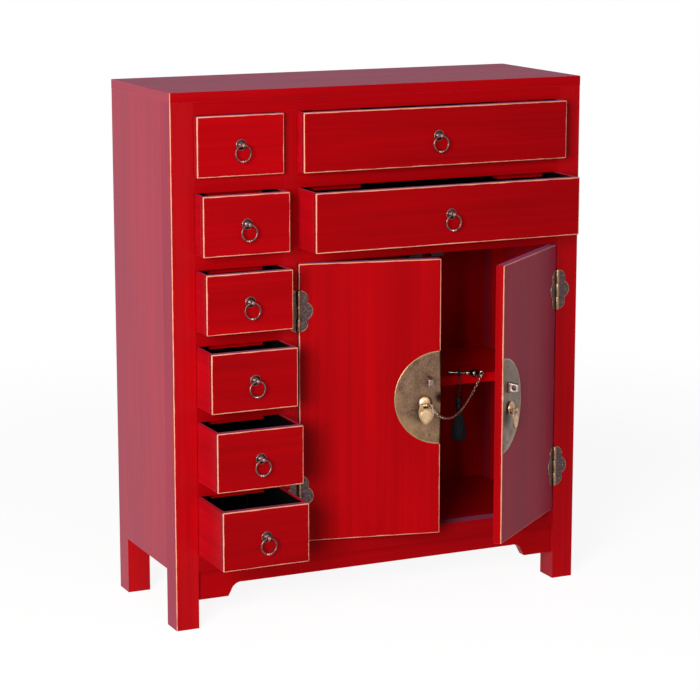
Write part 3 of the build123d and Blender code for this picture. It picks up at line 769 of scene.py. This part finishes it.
def beadOnBore(at, bore, outer, halfWidth, rub):
    # a drilled bead: an oval section carried round the bore's axis, which runs along x
    t = np.linspace(0, 2 * np.pi, 20, endpoint=False)[:, None]
    a = np.linspace(0, 2 * np.pi, 32, endpoint=False)
    radius = (bore + outer) / 2 + (outer - bore) / 2 * np.cos(t)
    rings = np.broadcast_arrays(halfWidth * np.sin(t), radius * np.cos(a), radius * np.sin(a))
    grid = np.asarray(at) + np.stack(rings, axis=-1)
    return gridPart(grid, closeRows=True, extra={"rub": np.full(grid.shape[:2], rub)})


def tubeAlong(centres, outs, ups, radius, around, closed=False, rub=0.0):
    # a circle at each centre, in the plane of its out and up directions, of the radius given there
    a = np.linspace(0, 2 * np.pi, around, endpoint=False)[:, None]
    circle = np.cos(a) * outs[:, None, :] + np.sin(a) * np.broadcast_to(ups, outs.shape)[:, None, :]
    grid = centres[:, None, :] + np.reshape(radius, (-1, 1, 1)) * circle
    rubs = np.broadcast_to(np.reshape(rub, (-1, 1)), grid.shape[:2])
    return gridPart(grid, closeRows=closed, extra={"rub": rubs})


def wireRing(middle, first, second, radius, wire, steps, around, rub=0.0):
    # a closed ring of wire in the plane of two directions
    a = np.linspace(0, 2 * np.pi, steps, endpoint=False)[:, None]
    outs = np.cos(a) * first + np.sin(a) * second
    up = np.cross(first, second)
    return tubeAlong(middle + radius * outs, outs, up, wire, around, closed=True, rub=rub)


def nailHead(at, radius, high, root, steps, around, rub):
    # a domed head on the face of a door, sunk a little at its root
    t = np.linspace(0, np.pi / 2, steps)[1:]
    radii = np.concatenate([[0, radius], radius * np.cos(t)])
    heights = np.concatenate([[-root, 0], high * np.sin(t)])
    return turned(radii, heights, around, rub, frontAxes, at)


def frames(line):
    # two directions across a line at each of its points, kept from turning by one fixed reference
    slope = np.gradient(line, axis=0)
    slope /= np.linalg.norm(slope, axis=1)[:, None]
    reference = np.array([0.31, 0.93, 0.2])
    outs = np.cross(slope, reference)
    outs /= np.linalg.norm(outs, axis=1)[:, None]
    return outs, np.cross(slope, outs)


# ring pulls

pull = {
    # stepped plate with a rolled rim and a groove
    "rimRadii": (0, 8.5, 8.5, 8.3, 7.95, 7.6, 7.35, 7.1, 6.85, 6.6),
    "rimHeights": (0, 0, 0.7, 1.15, 1.4, 1.3, 0.95, 0.9, 1.15, 1.5),
    "rimRub": (0, 0.2, 0.5, 0.9, 0.7, 0.2, 0, 0, 0.1, 0.4),
    "dome": (6.6, 3.6),  # radius and height
    "domeRub": (0.05, 0.5),  # from its foot to its top
    "step": 1.4,
    "neck": 1.9,
    "neckRub": (0.3, 0.3, 0.5, 0.5),
    "eyeOut": 9.2,
    "eye": (1.95, 3.4, 2.3),  # bore, outside and half width of the eye
    "eyeRub": 0.95,
    "ring": 12.3,
    "wire": 1.3,
    "bead": 2.4,
    "collar": (3.3, 0.75, 0.7),  # place from the bead's middle, rise and half width
    "ringRub": (0.95, 0.45),  # where fingers hold it, up to the arc below, and beyond
    "heldArc": 4.2,
}


def pullProfile():
    # the plate, then a low dome, part of a ball, and a waisted neck
    q = pull
    dome, high = q["dome"]
    ball = (dome**2 + high**2) / (2 * high)
    domeR = np.linspace(dome - 0.3, q["neck"] + 0.5, 12)
    domeH = q["step"] + high - ball + np.sqrt(ball**2 - domeR**2)
    neckR = [q["neck"] + 0.1, q["neck"], q["neck"], 0]
    neckH = [domeH[-1] + 0.5, domeH[-1] + 1.2, q["eyeOut"] - 1.5, q["eyeOut"] - 1.5]
    radii = np.concatenate([q["rimRadii"], domeR, neckR])
    heights = np.concatenate([q["rimHeights"], domeH, neckH])
    rub = np.concatenate([q["rimRub"], np.linspace(*q["domeRub"], len(domeR)), q["neckRub"]])
    return radii, heights, rub


def makePull(drawer):
    q = pull
    pivot = jointPlace[drawer + "_ring_swing"] / mm
    radii, heights, rub = pullProfile()
    rose = turned(radii, heights, 48, rub, frontAxes, pivot + yAxis * q["eyeOut"])
    parts = toMetres([rose, beadOnBore(pivot, *q["eye"], q["eyeRub"])])
    buildPiece(drawer + "_pull_rose", parts, (ringMetal,), drawer, [drawer + "_pull_base"])
    # ring: a round wire that swells to a bead between two collars at its lowest point
    a = np.linspace(0, 2 * np.pi, 300, endpoint=False)
    arc = np.abs((a + np.pi) % (2 * np.pi) - np.pi) * q["ring"]
    bead = np.sqrt(np.maximum(q["bead"] ** 2 - arc**2, 0))
    place, rise, half = q["collar"]
    collar = q["wire"] + rise * np.sqrt(np.maximum(1 - ((arc - place) / half) ** 2, 0))
    radius = np.maximum(np.maximum(bead, collar), q["wire"])
    outs = np.stack([np.sin(a), 0 * a, -np.cos(a)], axis=1)
    centres = pivot - zAxis * q["ring"] + q["ring"] * outs
    shiny = np.where(arc < q["heldArc"], *q["ringRub"])
    ring = tubeAlong(centres, outs, yAxis, radius, 14, closed=True, rub=shiny)
    name = drawer + "_ring"
    buildPiece(name + "_cast", toMetres([ring]), (ringMetal,), name, [name])


for drawerNode in smallDrawers + wideDrawers:
    makePull(drawerNode)
print("ring pulls made")


# furniture of the doors, drawn on the closed left door in mm and carried over to the right one

lock = {
    "edge": 433.25,
    "middle": 434.0,  # the mirror between the doors
    "board": -260.0,  # the doors' own face
    "face": -261.2,  # and the plate's
    "level": 339.0,
    "margin": 0.3,
    "radius": 75.0,
    # profile of the plate from its middle, over a fine groove and a rounded rim, to its back
    "radii": (0, 12, 24, 36, 48, 58, 66, 70.6, 71.2, 71.9, 72.6, 73.2, 74.2, 74.75, 75, 75, 0),
    "heights": (1.2,) * 8 + (1.2, 1.02, 1.02, 1.2, 1.2, 1.05, 0.7, 0, 0),
    "rub": (0, 0, 0, 0, 0, 0, 0.05, 0.15, 0.4, 0, 0, 0.7, 1, 1, 1, 0, 0),
    "uneven": 0.05,
    "nails": {"left": ((18, 60), (18, -60), (8, 8.5)), "right": ((18, 60), (18, -60), (66, 0))},
    "nail": (1.5, 0.7),  # radius and height
}


def onDoor(side):
    # the change that takes a point of the closed left door to where the side's open door has it
    pivot, axis, degrees = doorTurn[side]

    def change(points):
        points = mirrored(points, lock["middle"]) if side == "right" else points
        return turnAbout(points, pivot / mm, axis, degrees)

    return change


def plateParts():
    # half disc: each point of the profile is carried along a half circle, and hammering has left the
    # sheet slightly uneven
    r, h, rub = [np.array(lock[key])[:, None] for key in ("radii", "heights", "rub")]
    a = np.linspace(np.pi / 2, 3 * np.pi / 2, 73)
    x, z = r * np.cos(a), r * np.sin(a)
    waves = np.sin(x / 7.3 + 1.3 * np.sin(z / 9.1)) + np.sin(z / 6.1 + np.sin(x / 8.7))
    height = h + lock["uneven"] * waves * ((r > 1) & (r < 70) & (h > 1.1))
    height[0] = height[0].mean()
    places = (lock["edge"] - lock["margin"] + x, lock["board"] - height, lock["level"] + z)
    rubs = rub + 0.3 * (x > -1.2) * (h > 1)
    # hands have kept the lower outside of the plate the brightest
    handled = np.clip(0.42 * (-x - z - 8) / lock["radius"], 0, 0.7) * (h > 1)
    rubs = np.clip(np.maximum(rubs, handled), 0, 1)
    return [gridPart(np.stack(places, axis=-1), closeRows=True, closeColumns=False, extra={"rub": rubs})]


def nailParts(side):
    edge, face, level = lock["edge"], lock["face"] - 0.02, lock["level"]
    places = [(edge - inset, face, level + rise) for inset, rise in lock["nails"][side]]
    return [nailHead(place, *lock["nail"], root=0.3, steps=6, around=20, rub=0.0) for place in places]


staple = {
    "inset": 20.0,
    "rise": 27.0,
    "reach": 17.0,
    "root": 8.75,
    "tip": 5.75,
    "half": 4.25,
    "bore": 3.25,
    "boreAt": 10.5,
    "power": 16,  # the higher it is, the sharper are the outline's corners
    # section: share of the way from the bore to the outline, and height over the middle plane
    "share": (0, 0, 0.10, 0.16, 0.22, 0.8, 0.93, 0.985, 1.0),
    "level": (0.0, 0.80, 0.86, 1.0, 1.03, 1.0, 0.93, 0.75, 0.45),
}


def stapleParts():
    # a cast lug: round the bore, a closed section runs from the bore's rim over both faces to the outline.
    # The outline is a tapered oblong, softened by adding up powers of its four sides' inverse distances
    s = staple
    a = np.linspace(0, 2 * np.pi, 96, endpoint=False)
    dx, dz = np.cos(a), np.sin(a)
    narrowing = s["root"] - s["tip"]
    slant = math.atan2(narrowing, s["reach"])
    flank = (s["root"] - narrowing * s["boreAt"] / s["reach"]) * math.cos(slant)
    sides = [(-1, 0, s["boreAt"]), (1, 0, s["reach"] - s["boreAt"])]
    sides += [(math.sin(slant), sign * math.cos(slant), flank) for sign in (1, -1)]
    powers = [np.maximum(0, (nx * dx + nz * dz) / far) ** s["power"] for nx, nz, far in sides]
    outline = 1 / sum(powers) ** (1 / s["power"])
    share, level = [np.array(s[key]) for key in ("share", "level")]
    share = np.concatenate([share, share[::-1][:-1]])[:, None]
    level = np.concatenate([level, -level[::-1][:-1]])[:, None]
    radius = s["bore"] + share * (outline - s["bore"])
    out, up = s["boreAt"] + radius * dx, radius * dz
    rub = np.where(np.abs(level) > 0.7, 0.7, 0.1)
    rub = np.where((share > 0.08) & (share < 0.2), 1.0, rub)
    # painted shade: the inside of the bore is darkened nearly to black
    grime = np.where(share < 0.05, 0.93, 0.0)
    x = lock["edge"] - s["inset"] + level * s["half"]
    y = lock["face"] - np.maximum(out, -0.1)
    z = lock["level"] + s["rise"] + up
    x, y, z, rub, grime = np.broadcast_arrays(x, y, z, rub, grime)
    return [gridPart(np.stack([x, y, z], axis=-1), closeRows=True, extra={"rub": rub, "grime": grime})]


knob = {
    "inset": 26.0,
    "drop": 7.0,  # from the plate's middle
    "radius": 11.0,
    "high": 4.5,
    "domeFoot": 2.5,
    "edgeRadii": (0, 4.5, 4.5, 5.2, 10.2, 10.8, 11.0),
    "edgeHeights": (0, 0, 1.5, 2.1, 2.05, 2.12, 2.35),
    "edgeRub": (0, 0, 0, 0, 0.3, 0.6, 0.9),
    "stem": (1.5, 3.5),  # radius and foot
    "eye": (1.2, 2.6, 1.6),  # bore, outside and half width
    "eyeDrop": 2.0,
    "eyeOut": 10.5,
}


def knobParts():
    # a turned dome with a rolled edge on a short neck, and a drilled eye on a stem below its middle
    k = knob
    t = np.linspace(0, np.pi / 2, 16)
    radii = np.concatenate([k["edgeRadii"], k["radius"] * np.cos(t)])
    heights = np.concatenate([k["edgeHeights"], k["domeFoot"] + k["high"] * np.sin(t)])
    rub = np.concatenate([k["edgeRub"], np.linspace(0.8, 0.5, len(t))])
    x, z = lock["edge"] - k["inset"], lock["level"] - k["drop"]
    dome = turned(radii, heights, 56, rub, frontAxes, (x, lock["face"], z))
    stem, foot = k["stem"]
    top, low = k["eyeOut"] - 1, z - k["eyeDrop"]
    stalk = turned([0, stem, stem, 0], [foot, foot, top, top], 20, 0.4, frontAxes, (x, lock["face"], low))
    return [dome, stalk, beadOnBore((x, lock["face"] - k["eyeOut"], low), *k["eye"], rub=0.9)]


pendantShape = {
    "window": (-5.0, 6.4, -5.4),  # left, right and foot of the notch
    "thick": 1.6,
    "bevel": 0.45,
    "bar": (1.1, 7.6),  # radius and half length
    "shoulder": (9.0, 1.1),
    "bulge": (11.8, -5.0),
    "widest": (12.5, -12.5),
    "flank": (8.8, -24.0),
    "tip": (0.0, -32.0),
    "fieldMiddle": -14.4,
    "fieldSize": (9.4, 6.4, 14.6),  # half width, and the reach above and below its middle
    "fieldTaper": 0.32,
    "fieldRings": (1.0, 0.97, 0.9, 0.75, 0.5, 0.25, 0.0),
    "fieldRise": (0.0, 0.28, 0.42, 0.55, 0.68, 0.74, 0.76),
    "fieldOut": 0.78,
}


def arcThrough(a, b, c, count):
    # the circle through three points: its centre is as far from each, then the angles between are shared out
    (ax, ay), (bx, by), (cx, cy) = a, b, c
    d = 2 * (ax * (by - cy) + bx * (cy - ay) + cx * (ay - by))
    aa, bb, cc = [px**2 + py**2 for px, py in (a, b, c)]
    ux = (aa * (by - cy) + bb * (cy - ay) + cc * (ay - by)) / d
    uy = (aa * (cx - bx) + bb * (ax - cx) + cc * (bx - ax)) / d
    angles = np.unwrap([math.atan2(q - uy, p - ux) for p, q in (a, b, c)])
    t = np.linspace(angles[0], angles[2], count)
    radius = math.hypot(ax - ux, ay - uy)
    return np.stack([ux + radius * np.cos(t), uy + radius * np.sin(t)], axis=1)


def pendantOutline():
    # two arcs down the right side, the same back up the left, and the notch round the bar
    p = pendantShape
    upper = arcThrough(p["shoulder"], p["bulge"], p["widest"], 14)
    right = np.concatenate([upper, arcThrough(p["widest"], p["flank"], p["tip"], 22)[1:]])
    left, rightEnd, foot = p["window"]
    level = p["bar"][0]
    notch = np.array([[left, level], [left, foot], [rightEnd, foot], [rightEnd, level]])
    return np.concatenate([right, right[::-1][1:] * [-1, 1], notch])


def makePendant(side):
    # a leaf cut from sheet with a notch for the bar: one flat face, thickened and bevelled
    p = pendantShape
    loop = pendantOutline()
    eyeLevel = lock["level"] - knob["drop"] - knob["eyeDrop"]
    pivot = np.array([lock["edge"] - knob["inset"], lock["face"] - knob["eyeOut"], eyeLevel])
    points = onDoor(side)(pivot + loop[:, :1] * xAxis + loop[:, 1:] * zAxis) * mm
    name, body = side + "_pendant_leaf", side + "_pendant"
    mesh = bpy.data.meshes.new(name)
    mesh.from_pydata(points.tolist(), [], [list(range(len(points)))])
    obj = placeObject(name, mesh, body, [side + "_door_pendant"])
    sheet = obj.modifiers.new("sheet", "SOLIDIFY")
    sheet.thickness = p["thick"] * mm
    sheet.offset = 0
    edge = obj.modifiers.new("edge", "BEVEL")
    edge.width = p["bevel"] * mm
    edge.segments = 3
    edge.limit_method = "ANGLE"
    dress(obj, brassMetal[side])
    # the bar and a raised, softly domed field on the leaf
    radius, half = p["bar"]
    bar = turned([0, radius, radius, 0], [-half, -half, half, half], 18, 0.6, (yAxis, zAxis, xAxis), pivot)
    t = np.linspace(0, 2 * np.pi, 72, endpoint=False)
    across, up = np.cos(t), np.sin(t)
    wide, above, below = p["fieldSize"]
    fieldX = wide * across * (1 - p["fieldTaper"] * (up < 0) * up**2)
    fieldZ = np.where(up > 0, above, below) * up
    scale, rise = [np.array(p[key])[:, None] for key in ("fieldRings", "fieldRise")]
    x = pivot[0] + scale * fieldX
    z = pivot[2] + p["fieldMiddle"] + scale * fieldZ
    y = pivot[1] - p["fieldOut"] - np.broadcast_to(rise, x.shape)
    field = gridPart(np.stack([x, y, z], axis=-1), extra={"rub": np.full(x.shape, 0.7)})
    parts = toMetres([moved(part, onDoor(side)) for part in (bar, field)])
    capOpen(buildPiece(side + "_pendant_bar", parts, (brassMetal[side],), body))


def makeDoorFurniture(side):
    def placeOnDoor(name, parts, material, nodes=()):
        ready = toMetres([moved(part, onDoor(side)) for part in parts])
        return buildPiece(side + name, ready, (material,), side + "_door", nodes)

    sheet = plateMetal[side]
    capOpen(placeOnDoor("_plate_sheet", plateParts(), sheet, [side + "_lock_plate"]))
    placeOnDoor("_plate_nails", nailParts(side), hingeMetal)
    placeOnDoor("_staple_cast", stapleParts(), stapleMetal, [side + "_lock_staple"])
    placeOnDoor("_knob_turned", knobParts(), brassMetal[side], [side + "_door_knob"])
    makePendant(side)


for side in bothSides:
    makeDoorFurniture(side)
print("lock furniture made")


# hinges

hinge = {
    "levels": (192.0, 486.0),
    "reach": 23.0,
    "clear": 2.5,
    "inner": 9.0,  # a point inside the leaf, from which its outline is drawn
    "middleLobe": 15.0,
    "endLobe": 13.0,
    "length": 65.0,
    "barrel": 3.0,
    "off": 3.2,  # barrel's middle to the face it stands on
    "thick": 1.2,
    "pin": 1.5,
    "pinHead": (2.4, 0.3, 0.9),  # radius, edge and rise
    "gap": 0.3,
    "tongue": 4.2,
    "nails": ((11.0, 22.0), (16.5, 0.0), (11.0, -22.0)),
    "nail": (1.3, 0.55),  # radius and height
    # rings from the outline over its rounded edge and an engraved line: inset, height and rub
    "insets": (0, 0, 0.12, 0.4, 1.5, 1.75, 2.15, 2.4, 3.4),
    "heights": (0, 0.85, 1.08, 1.2, 1.2, 1.0, 1.0, 1.2, 1.2),
    "rub": (0.4, 0.9, 1, 0.9, 0.25, 0, 0, 0.2, 0.0),
}


def leafGrid():
    # cloud-shaped leaf: from an inner point the outline is the farthest of three circles, cut by the
    # straight side; rings are drawn in from it to the middle
    h = hinge
    a = np.linspace(0, 2 * np.pi, 180, endpoint=False)
    direction = np.stack([np.cos(a), np.sin(a)], axis=1)
    endAt = h["length"] / 2 - h["endLobe"]
    circles = ((h["reach"] - h["middleLobe"], 0, h["middleLobe"]),)
    circles += tuple((h["clear"], sign * endAt, h["endLobe"]) for sign in (1, -1))
    far = np.zeros(len(a))
    for cx, cz, radius in circles:
        offset = np.array([cx - h["inner"], cz])
        along = direction @ offset
        inside = radius**2 - (offset @ offset - along**2)
        far = np.maximum(far, np.where(inside > 0, along + np.sqrt(np.maximum(inside, 0)), 0))
    slope = direction[:, 0]
    toSide = np.where(slope < -1e-6, (h["clear"] - h["inner"]) / np.minimum(slope, -1e-6), 1e9)
    far = np.minimum(far, toSide)
    rings = np.maximum(far - np.array(h["insets"])[:, None], 0.5)
    radius = np.concatenate([far[None, :] * 0, rings, rings[-1] * np.array([[0.66], [0.33], [0]])])
    level = np.concatenate([[0], h["heights"], [h["thick"]] * 3])[:, None]
    rub = np.concatenate([[0], h["rub"], [0] * 3])[:, None]
    return np.broadcast_arrays(h["inner"] + radius * slope, level, radius * direction[:, 1], rub)


def leafParts(level, axis):
    # one leaf to the right of its barrel, with three nail heads; axis is the barrel's middle line
    x, up, z, rub = leafGrid()
    grid = np.stack([axis[0] + x, axis[1] + hinge["off"] - up, level + z], axis=-1)
    face = axis[1] + hinge["off"] - hinge["thick"]
    places = [(axis[0] + nx, face, level + nz) for nx, nz in hinge["nails"]]
    nails = [nailHead(place, *hinge["nail"], root=0.2, steps=5, around=16, rub=0.5) for place in places]
    return [gridPart(grid, extra={"rub": rub})] + nails


def knuckleParts(low, high, level, axis):
    # a rolled knuckle with rounded ends, and the tongue that runs from it into the leaf
    r, bore = hinge["barrel"], hinge["pin"] + 0.06
    tall = high - low
    radii = [bore, r - 0.35, r - 0.1, r, r, r - 0.1, r - 0.35, bore]
    heights = [0, 0, 0.12, 0.4, tall - 0.4, tall - 0.12, tall, tall]
    at = (axis[0], axis[1], level + low)
    barrel = turned(radii, heights, 28, [0, 0.7, 0.9, 0.75, 0.75, 0.9, 0.7, 0], at=at)
    corner = (axis[0], axis[1] + hinge["off"] - hinge["thick"], level + low)
    size = (hinge["tongue"], tall, hinge["thick"])
    tongue = boardPart(corner, xAxis, zAxis, yAxis, size, 0.1, edgeWorn=False)
    tongue["extra"] = {"rub": np.full((len(tongue["points"]), 1), 0.5)}
    return [barrel, tongue]


def pinParts(level, axis):
    half, pin = hinge["length"] / 2, hinge["pin"]
    head, edge, rise = hinge["pinHead"]
    t = np.linspace(0, np.pi / 2, 6)[1:]
    radii = np.concatenate([[0, pin, pin, head, head], head * np.cos(t)])
    heights = np.concatenate([[-half, -half, half, half, half + edge], half + edge + rise * np.sin(t)])
    return [turned(radii, heights, 24, 0.6, at=(axis[0], axis[1], level))]


def makeHinges():
    third, half, gap = hinge["length"] / 6, hinge["length"] / 2, hinge["gap"]
    fixed = []
    for side in bothSides:
        pivot = jointPlace[side + "_door_hinge"] / mm
        swinging = []
        for level in hinge["levels"]:
            frameLeaf = leafParts(level, pivot) + knuckleParts(third, half, level, pivot)
            frameLeaf += knuckleParts(-half, -third, level, pivot)
            doorLeaf = leafParts(level, pivot) + knuckleParts(-third + gap, third - gap, level, pivot)
            for part in frameLeaf if side == "left" else doorLeaf:
                moved(part, lambda points: mirrored(points, pivot[0]))
            fixed += frameLeaf + pinParts(level, pivot)
            swinging += doorLeaf
        turn = pivot, *doorTurn[side][1:]
        parts = toMetres([moved(part, lambda points: turnAbout(points, *turn)) for part in swinging])
        nodes = [side + "_hinge_door_leaves"]
        buildPiece(side + "_hinge_leaves", parts, (hingeMetal,), side + "_door", nodes)
    name = "hinge_frame_leaves_and_pins"
    buildPiece("hinge_frame_leaves", toMetres(fixed), (hingeMetal,), "cabinet", [name])


makeHinges()
print("hinges made")


# lock pin

lockPin = {
    "collarAt": (526.5, -211.2, 350.55),
    "turn": -30.5,
    "radius": 2.4,
    "shaft": 32.0,
    "collar": 3.2,
    "bulb": (6.4, 17.0),  # radius and length
    "stalk": 1.2,
    "eye": (3.0, 0.6),  # radius and wire
}
pinAlong = np.array([math.cos(math.radians(lockPin["turn"])), math.sin(math.radians(lockPin["turn"])), 0])


def makeLockPin():
    # turned along its length: shaft, bead, bulb, stalk, then a wire eye on its end
    p = lockPin
    aside = np.cross(pinAlong, zAxis)
    place = np.array(p["collarAt"])
    shaft, collar = p["radius"], p["collar"]
    bulb, length = p["bulb"]
    tip = np.linspace(0, np.pi / 2, 6)
    t = np.linspace(0, np.pi, 24)
    bead, swell = t[8:20], t[3:-2]
    end = collar + length + 0.2
    lathe = (
        # radii, heights
        (shaft * np.sin(tip), -p["shaft"] + 1.2 * (1 - np.cos(tip))),
        ([shaft, shaft], [-p["shaft"] + 1.6, -3.0]),
        (collar * np.sin(bead), -collar * np.cos(bead)),
        (bulb * np.sin(swell), collar + length / 2 - length / 2 * np.cos(swell)),
        ([p["stalk"], p["stalk"], 0], [end - 0.5, end, end]),
    )
    radii, heights = [np.concatenate(column) for column in zip(*lathe)]
    heights = np.maximum.accumulate(heights)
    rub = np.where(heights < -2.5, 0.95, np.where(heights < collar, 1.0, 0.1))
    body = turned(radii, heights, 40, rub, (zAxis, -aside, pinAlong), place)
    eye, wire = p["eye"]
    ring = wireRing(place + pinAlong * (collar + length + eye), pinAlong, zAxis, eye, wire, 40, 12, rub=1.0)
    buildPiece("lock_pin_turned", toMetres([body, ring]), (pinMetal,), "cabinet", ["lock_pin"])


makeLockPin()
print("lock pin made")


# tassel

tassel = {
    "cord": 0.8,
    "loop": 3.25,
    "pair": (-0.85, 0.85),  # the two cords, along the pin
    "lean": 1.2,
    "bow": 2.1,
    "back": 13.0,
    "headTop": 310.5,
    "headFoot": 288.0,
    # bound head: a wound ring, a bead, a second bead and the throat, each a level, its half height, the
    # radius at its ends and its swelling
    "head": ((309.2, 1.3, 2.2, 1.5), (304.6, 4.4, 2.6, 2.6), (296.6, 4.3, 2.9, 2.5), (290.6, 1.9, 3.4, 1.2)),
    # windings: level of the first, step, radius and number
    "windings": ((309.2, 0.55, 3.75, 3), (292.4, 0.6, 4.75, 6)),
    "windingWire": 0.34,
    "coreRadii": (0, 4.0, 6.0, 8.6, 10.2, 10.9, 0),
    "coreLevels": (289.5, 288.5, 280, 265, 252, 241.5, 242.5),
    "neck": 288.5,
    "neckRadius": 4.4,
    "hem": 239.5,
    "hemRadius": 11.5,
    "flare": 1.9,
    "strands": 110,
    "strand": 0.42,
}


def cordParts(hang, side):
    # a loop of doubled cord round the pin, leaning a little, and two cords that bow apart and meet again
    # at the head
    q = tassel
    t = np.linspace(0, 2 * np.pi, 48, endpoint=False)[:, None]
    s = np.linspace(0, 1, 26)[:, None]
    foot = np.array([hang[0], hang[1], q["headTop"] - 1.0])
    parts = []
    for shift in q["pair"]:
        outs = np.cos(t) * side + np.sin(t) * zAxis
        lean = pinAlong * (shift - q["lean"] * np.sin(t) * (np.sin(t) > 0))
        centres = hang + q["loop"] * (outs - side) + lean
        parts.append(tubeAlong(centres, outs, pinAlong, q["cord"], 8, closed=True))
        bow = np.sign(shift) * q["bow"] * np.sin(np.pi * s) ** 2
        line = (hang + pinAlong * shift) * (1 - s) + foot * s + pinAlong * bow
        parts.append(tubeAlong(line, *frames(line), q["cord"], 8))
    return parts


def strandParts(foot):
    # threads that leave the neck and flare to a straight hem: the radius grows quickly below the neck,
    # then nearly straight
    q = tassel
    chance = np.random.default_rng(7)
    s = np.linspace(0, 1, 9)
    parts = []
    for k in range(q["strands"]):
        angle = 2 * np.pi * (k + chance.uniform(-0.4, 0.4)) / q["strands"]
        spread = q["hemRadius"] + chance.uniform(-0.8, 0.7)
        length = q["neck"] - q["hem"] - chance.uniform(0, 1.6)
        radius = q["neckRadius"] + (spread - q["neckRadius"]) * (1 - (1 - s) ** q["flare"])
        swirl = angle + 0.05 * np.sin(3 * s * np.pi + chance.uniform(0, 6))
        points = (radius * np.cos(swirl), radius * np.sin(swirl), q["neck"] - length * s)
        line = foot + np.stack(points, axis=1)
        parts.append(tubeAlong(line, *frames(line), q["strand"], 5))
    return parts


def makeTassel():
    # cord, bound head, windings of thread laid close on it, and a skirt of threads over a solid core
    q = tassel
    side = np.array([pinAlong[1], -pinAlong[0], 0])
    hang = np.array(lockPin["collarAt"]) - pinAlong * q["back"] + side * q["loop"]
    foot = np.array([hang[0], hang[1], 0])
    parts = cordParts(hang, side)
    a = np.linspace(0, np.pi, 9)
    radii = [ends + swelling * np.sin(a) for _, _, ends, swelling in q["head"]]
    heights = [level + half * np.cos(a) for level, half, _, _ in q["head"]]
    radii = np.concatenate([[0], *radii, [0]])
    heights = np.concatenate([[q["headTop"]], *heights, [q["headFoot"]]])
    parts.append(turned(radii, heights, 48, at=foot))
    for first, step, radius, count in q["windings"]:
        for k in range(count):
            middle = foot + zAxis * (first - step * k)
            parts.append(wireRing(middle, xAxis, yAxis, radius, q["windingWire"], 48, 6))
    parts.append(turned(q["coreRadii"], q["coreLevels"], 40, at=foot))
    parts += strandParts(foot)
    for part in parts:
        part["extra"] = {}
    parts = toMetres(parts)
    capOpen(buildPiece("lock_tassel_threads", parts, (threadBlack,), "cabinet", ["lock_tassel"]))


makeTassel()
print("tassel made")


# chain

chain = {
    "start": (404.894, -314.219, 330.0),
    "end": (546.49, -222.975, 347.55),
    "startPull": (6.2, -40.0, -23.0),
    "endPull": (-54.0, -19.5, -80.0),
    "wire": 0.75,
    "long": (13.0, 5.2),  # length and width
    "short": (7.6, 5.0),
    "longLinks": 2,
    "leastPlay": 0.16,
    "barRadius": 1.1,
    "barTurn": -12.0,
    "eyeWire": 0.6,
    # painted shade and soiling at the links' ends, set as below
    "grime": (0.52, 0.16, 0.75),  # from this share of the half length, over this share, up to this much
}


def linkPart(near, far, length, width, bar, left):
    # a stadium: two half circles joined by straight runs. It lies an eighth of a turn to one side
    c = chain
    middle = (near + far) / 2
    tangent = (far - near) / np.linalg.norm(far - near)
    across = bar - tangent * (tangent @ bar)
    across /= np.linalg.norm(across)
    over = np.cross(tangent, across)
    normal = (across - over if left else across + over) / math.sqrt(2)
    side = np.cross(normal, tangent)
    bend = width / 2 - c["wire"]
    straight = length / 2 - c["wire"] - bend
    a = np.concatenate([np.linspace(-np.pi / 2, np.pi / 2, 9), np.linspace(np.pi / 2, 3 * np.pi / 2, 9)])
    outs = np.cos(a)[:, None] * tangent + np.sin(a)[:, None] * side
    shift = np.repeat([straight, -straight], 9)[:, None]
    centres = middle + shift * tangent + bend * outs
    link = tubeAlong(centres, outs, normal, c["wire"], 8, closed=True, rub=0.8)
    # painted shade and soiling where the links bear on one another, at their ends, so that each link stands
    # apart
    reach = np.abs((centres - middle) @ tangent) / (length / 2)
    start, over, most = c["grime"]
    link["extra"]["grime"] = np.repeat(np.clip((reach - start) / over, 0, 1) * most, 8)[:, None]
    return link


def makeChain():
    c = chain
    start, end = np.array(c["start"]), np.array(c["end"])
    hull = np.array([start, start + c["startPull"], end + c["endPull"], end])
    t = np.linspace(0, 1, 2001)[:, None]
    # cubic Bezier: the four points weighted by the terms of (u + t) cubed, where u is 1 - t
    u = 1 - t
    line = u**3 * hull[0] + 3 * t * u**2 * hull[1] + 3 * t**2 * u * hull[2] + t**3 * hull[3]
    run = np.concatenate([[0], np.cumsum(np.linalg.norm(np.diff(line, axis=0), axis=1))])

    def at(distance):
        inside = np.clip(distance, 0, run[-1])
        point = np.array([np.interp(inside, run, line[:, k]) for k in range(3)])
        slope = (line[1] - line[0]) if distance < run[-1] / 2 else (line[-1] - line[-2])
        return point + slope / np.linalg.norm(slope) * (distance - inside)

    # as many short links as fill the way, and the rest is shared out as play between them
    span = run[-1] + c["barRadius"] + c["eyeWire"]
    longInner, shortInner = [size[0] - 4 * c["wire"] for size in (c["long"], c["short"])]
    count = int((span - c["longLinks"] * longInner) / (shortInner - c["leastPlay"])) + 1
    sizes = [c["long"]] * c["longLinks"] + [c["short"]] * count
    inner = [length - 4 * c["wire"] for length, _ in sizes]
    play = (sum(inner) - span) / (len(sizes) + 1)
    turn = math.radians(c["barTurn"])
    bar = np.array([math.cos(turn), math.sin(turn), 0])
    along = -c["barRadius"] - play
    parts = []
    for i, (length, width) in enumerate(sizes):
        near, far = at(along), at(along + inner[i])
        along += inner[i] - play
        parts.append(linkPart(near, far, length, width, bar, i % 2 == 0))
    parts = toMetres(parts)
    obj = buildPiece("lock_chain_links", parts, (chainMetal,), None, ["lock_chain"])
    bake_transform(obj)


makeChain()
print("chain made")
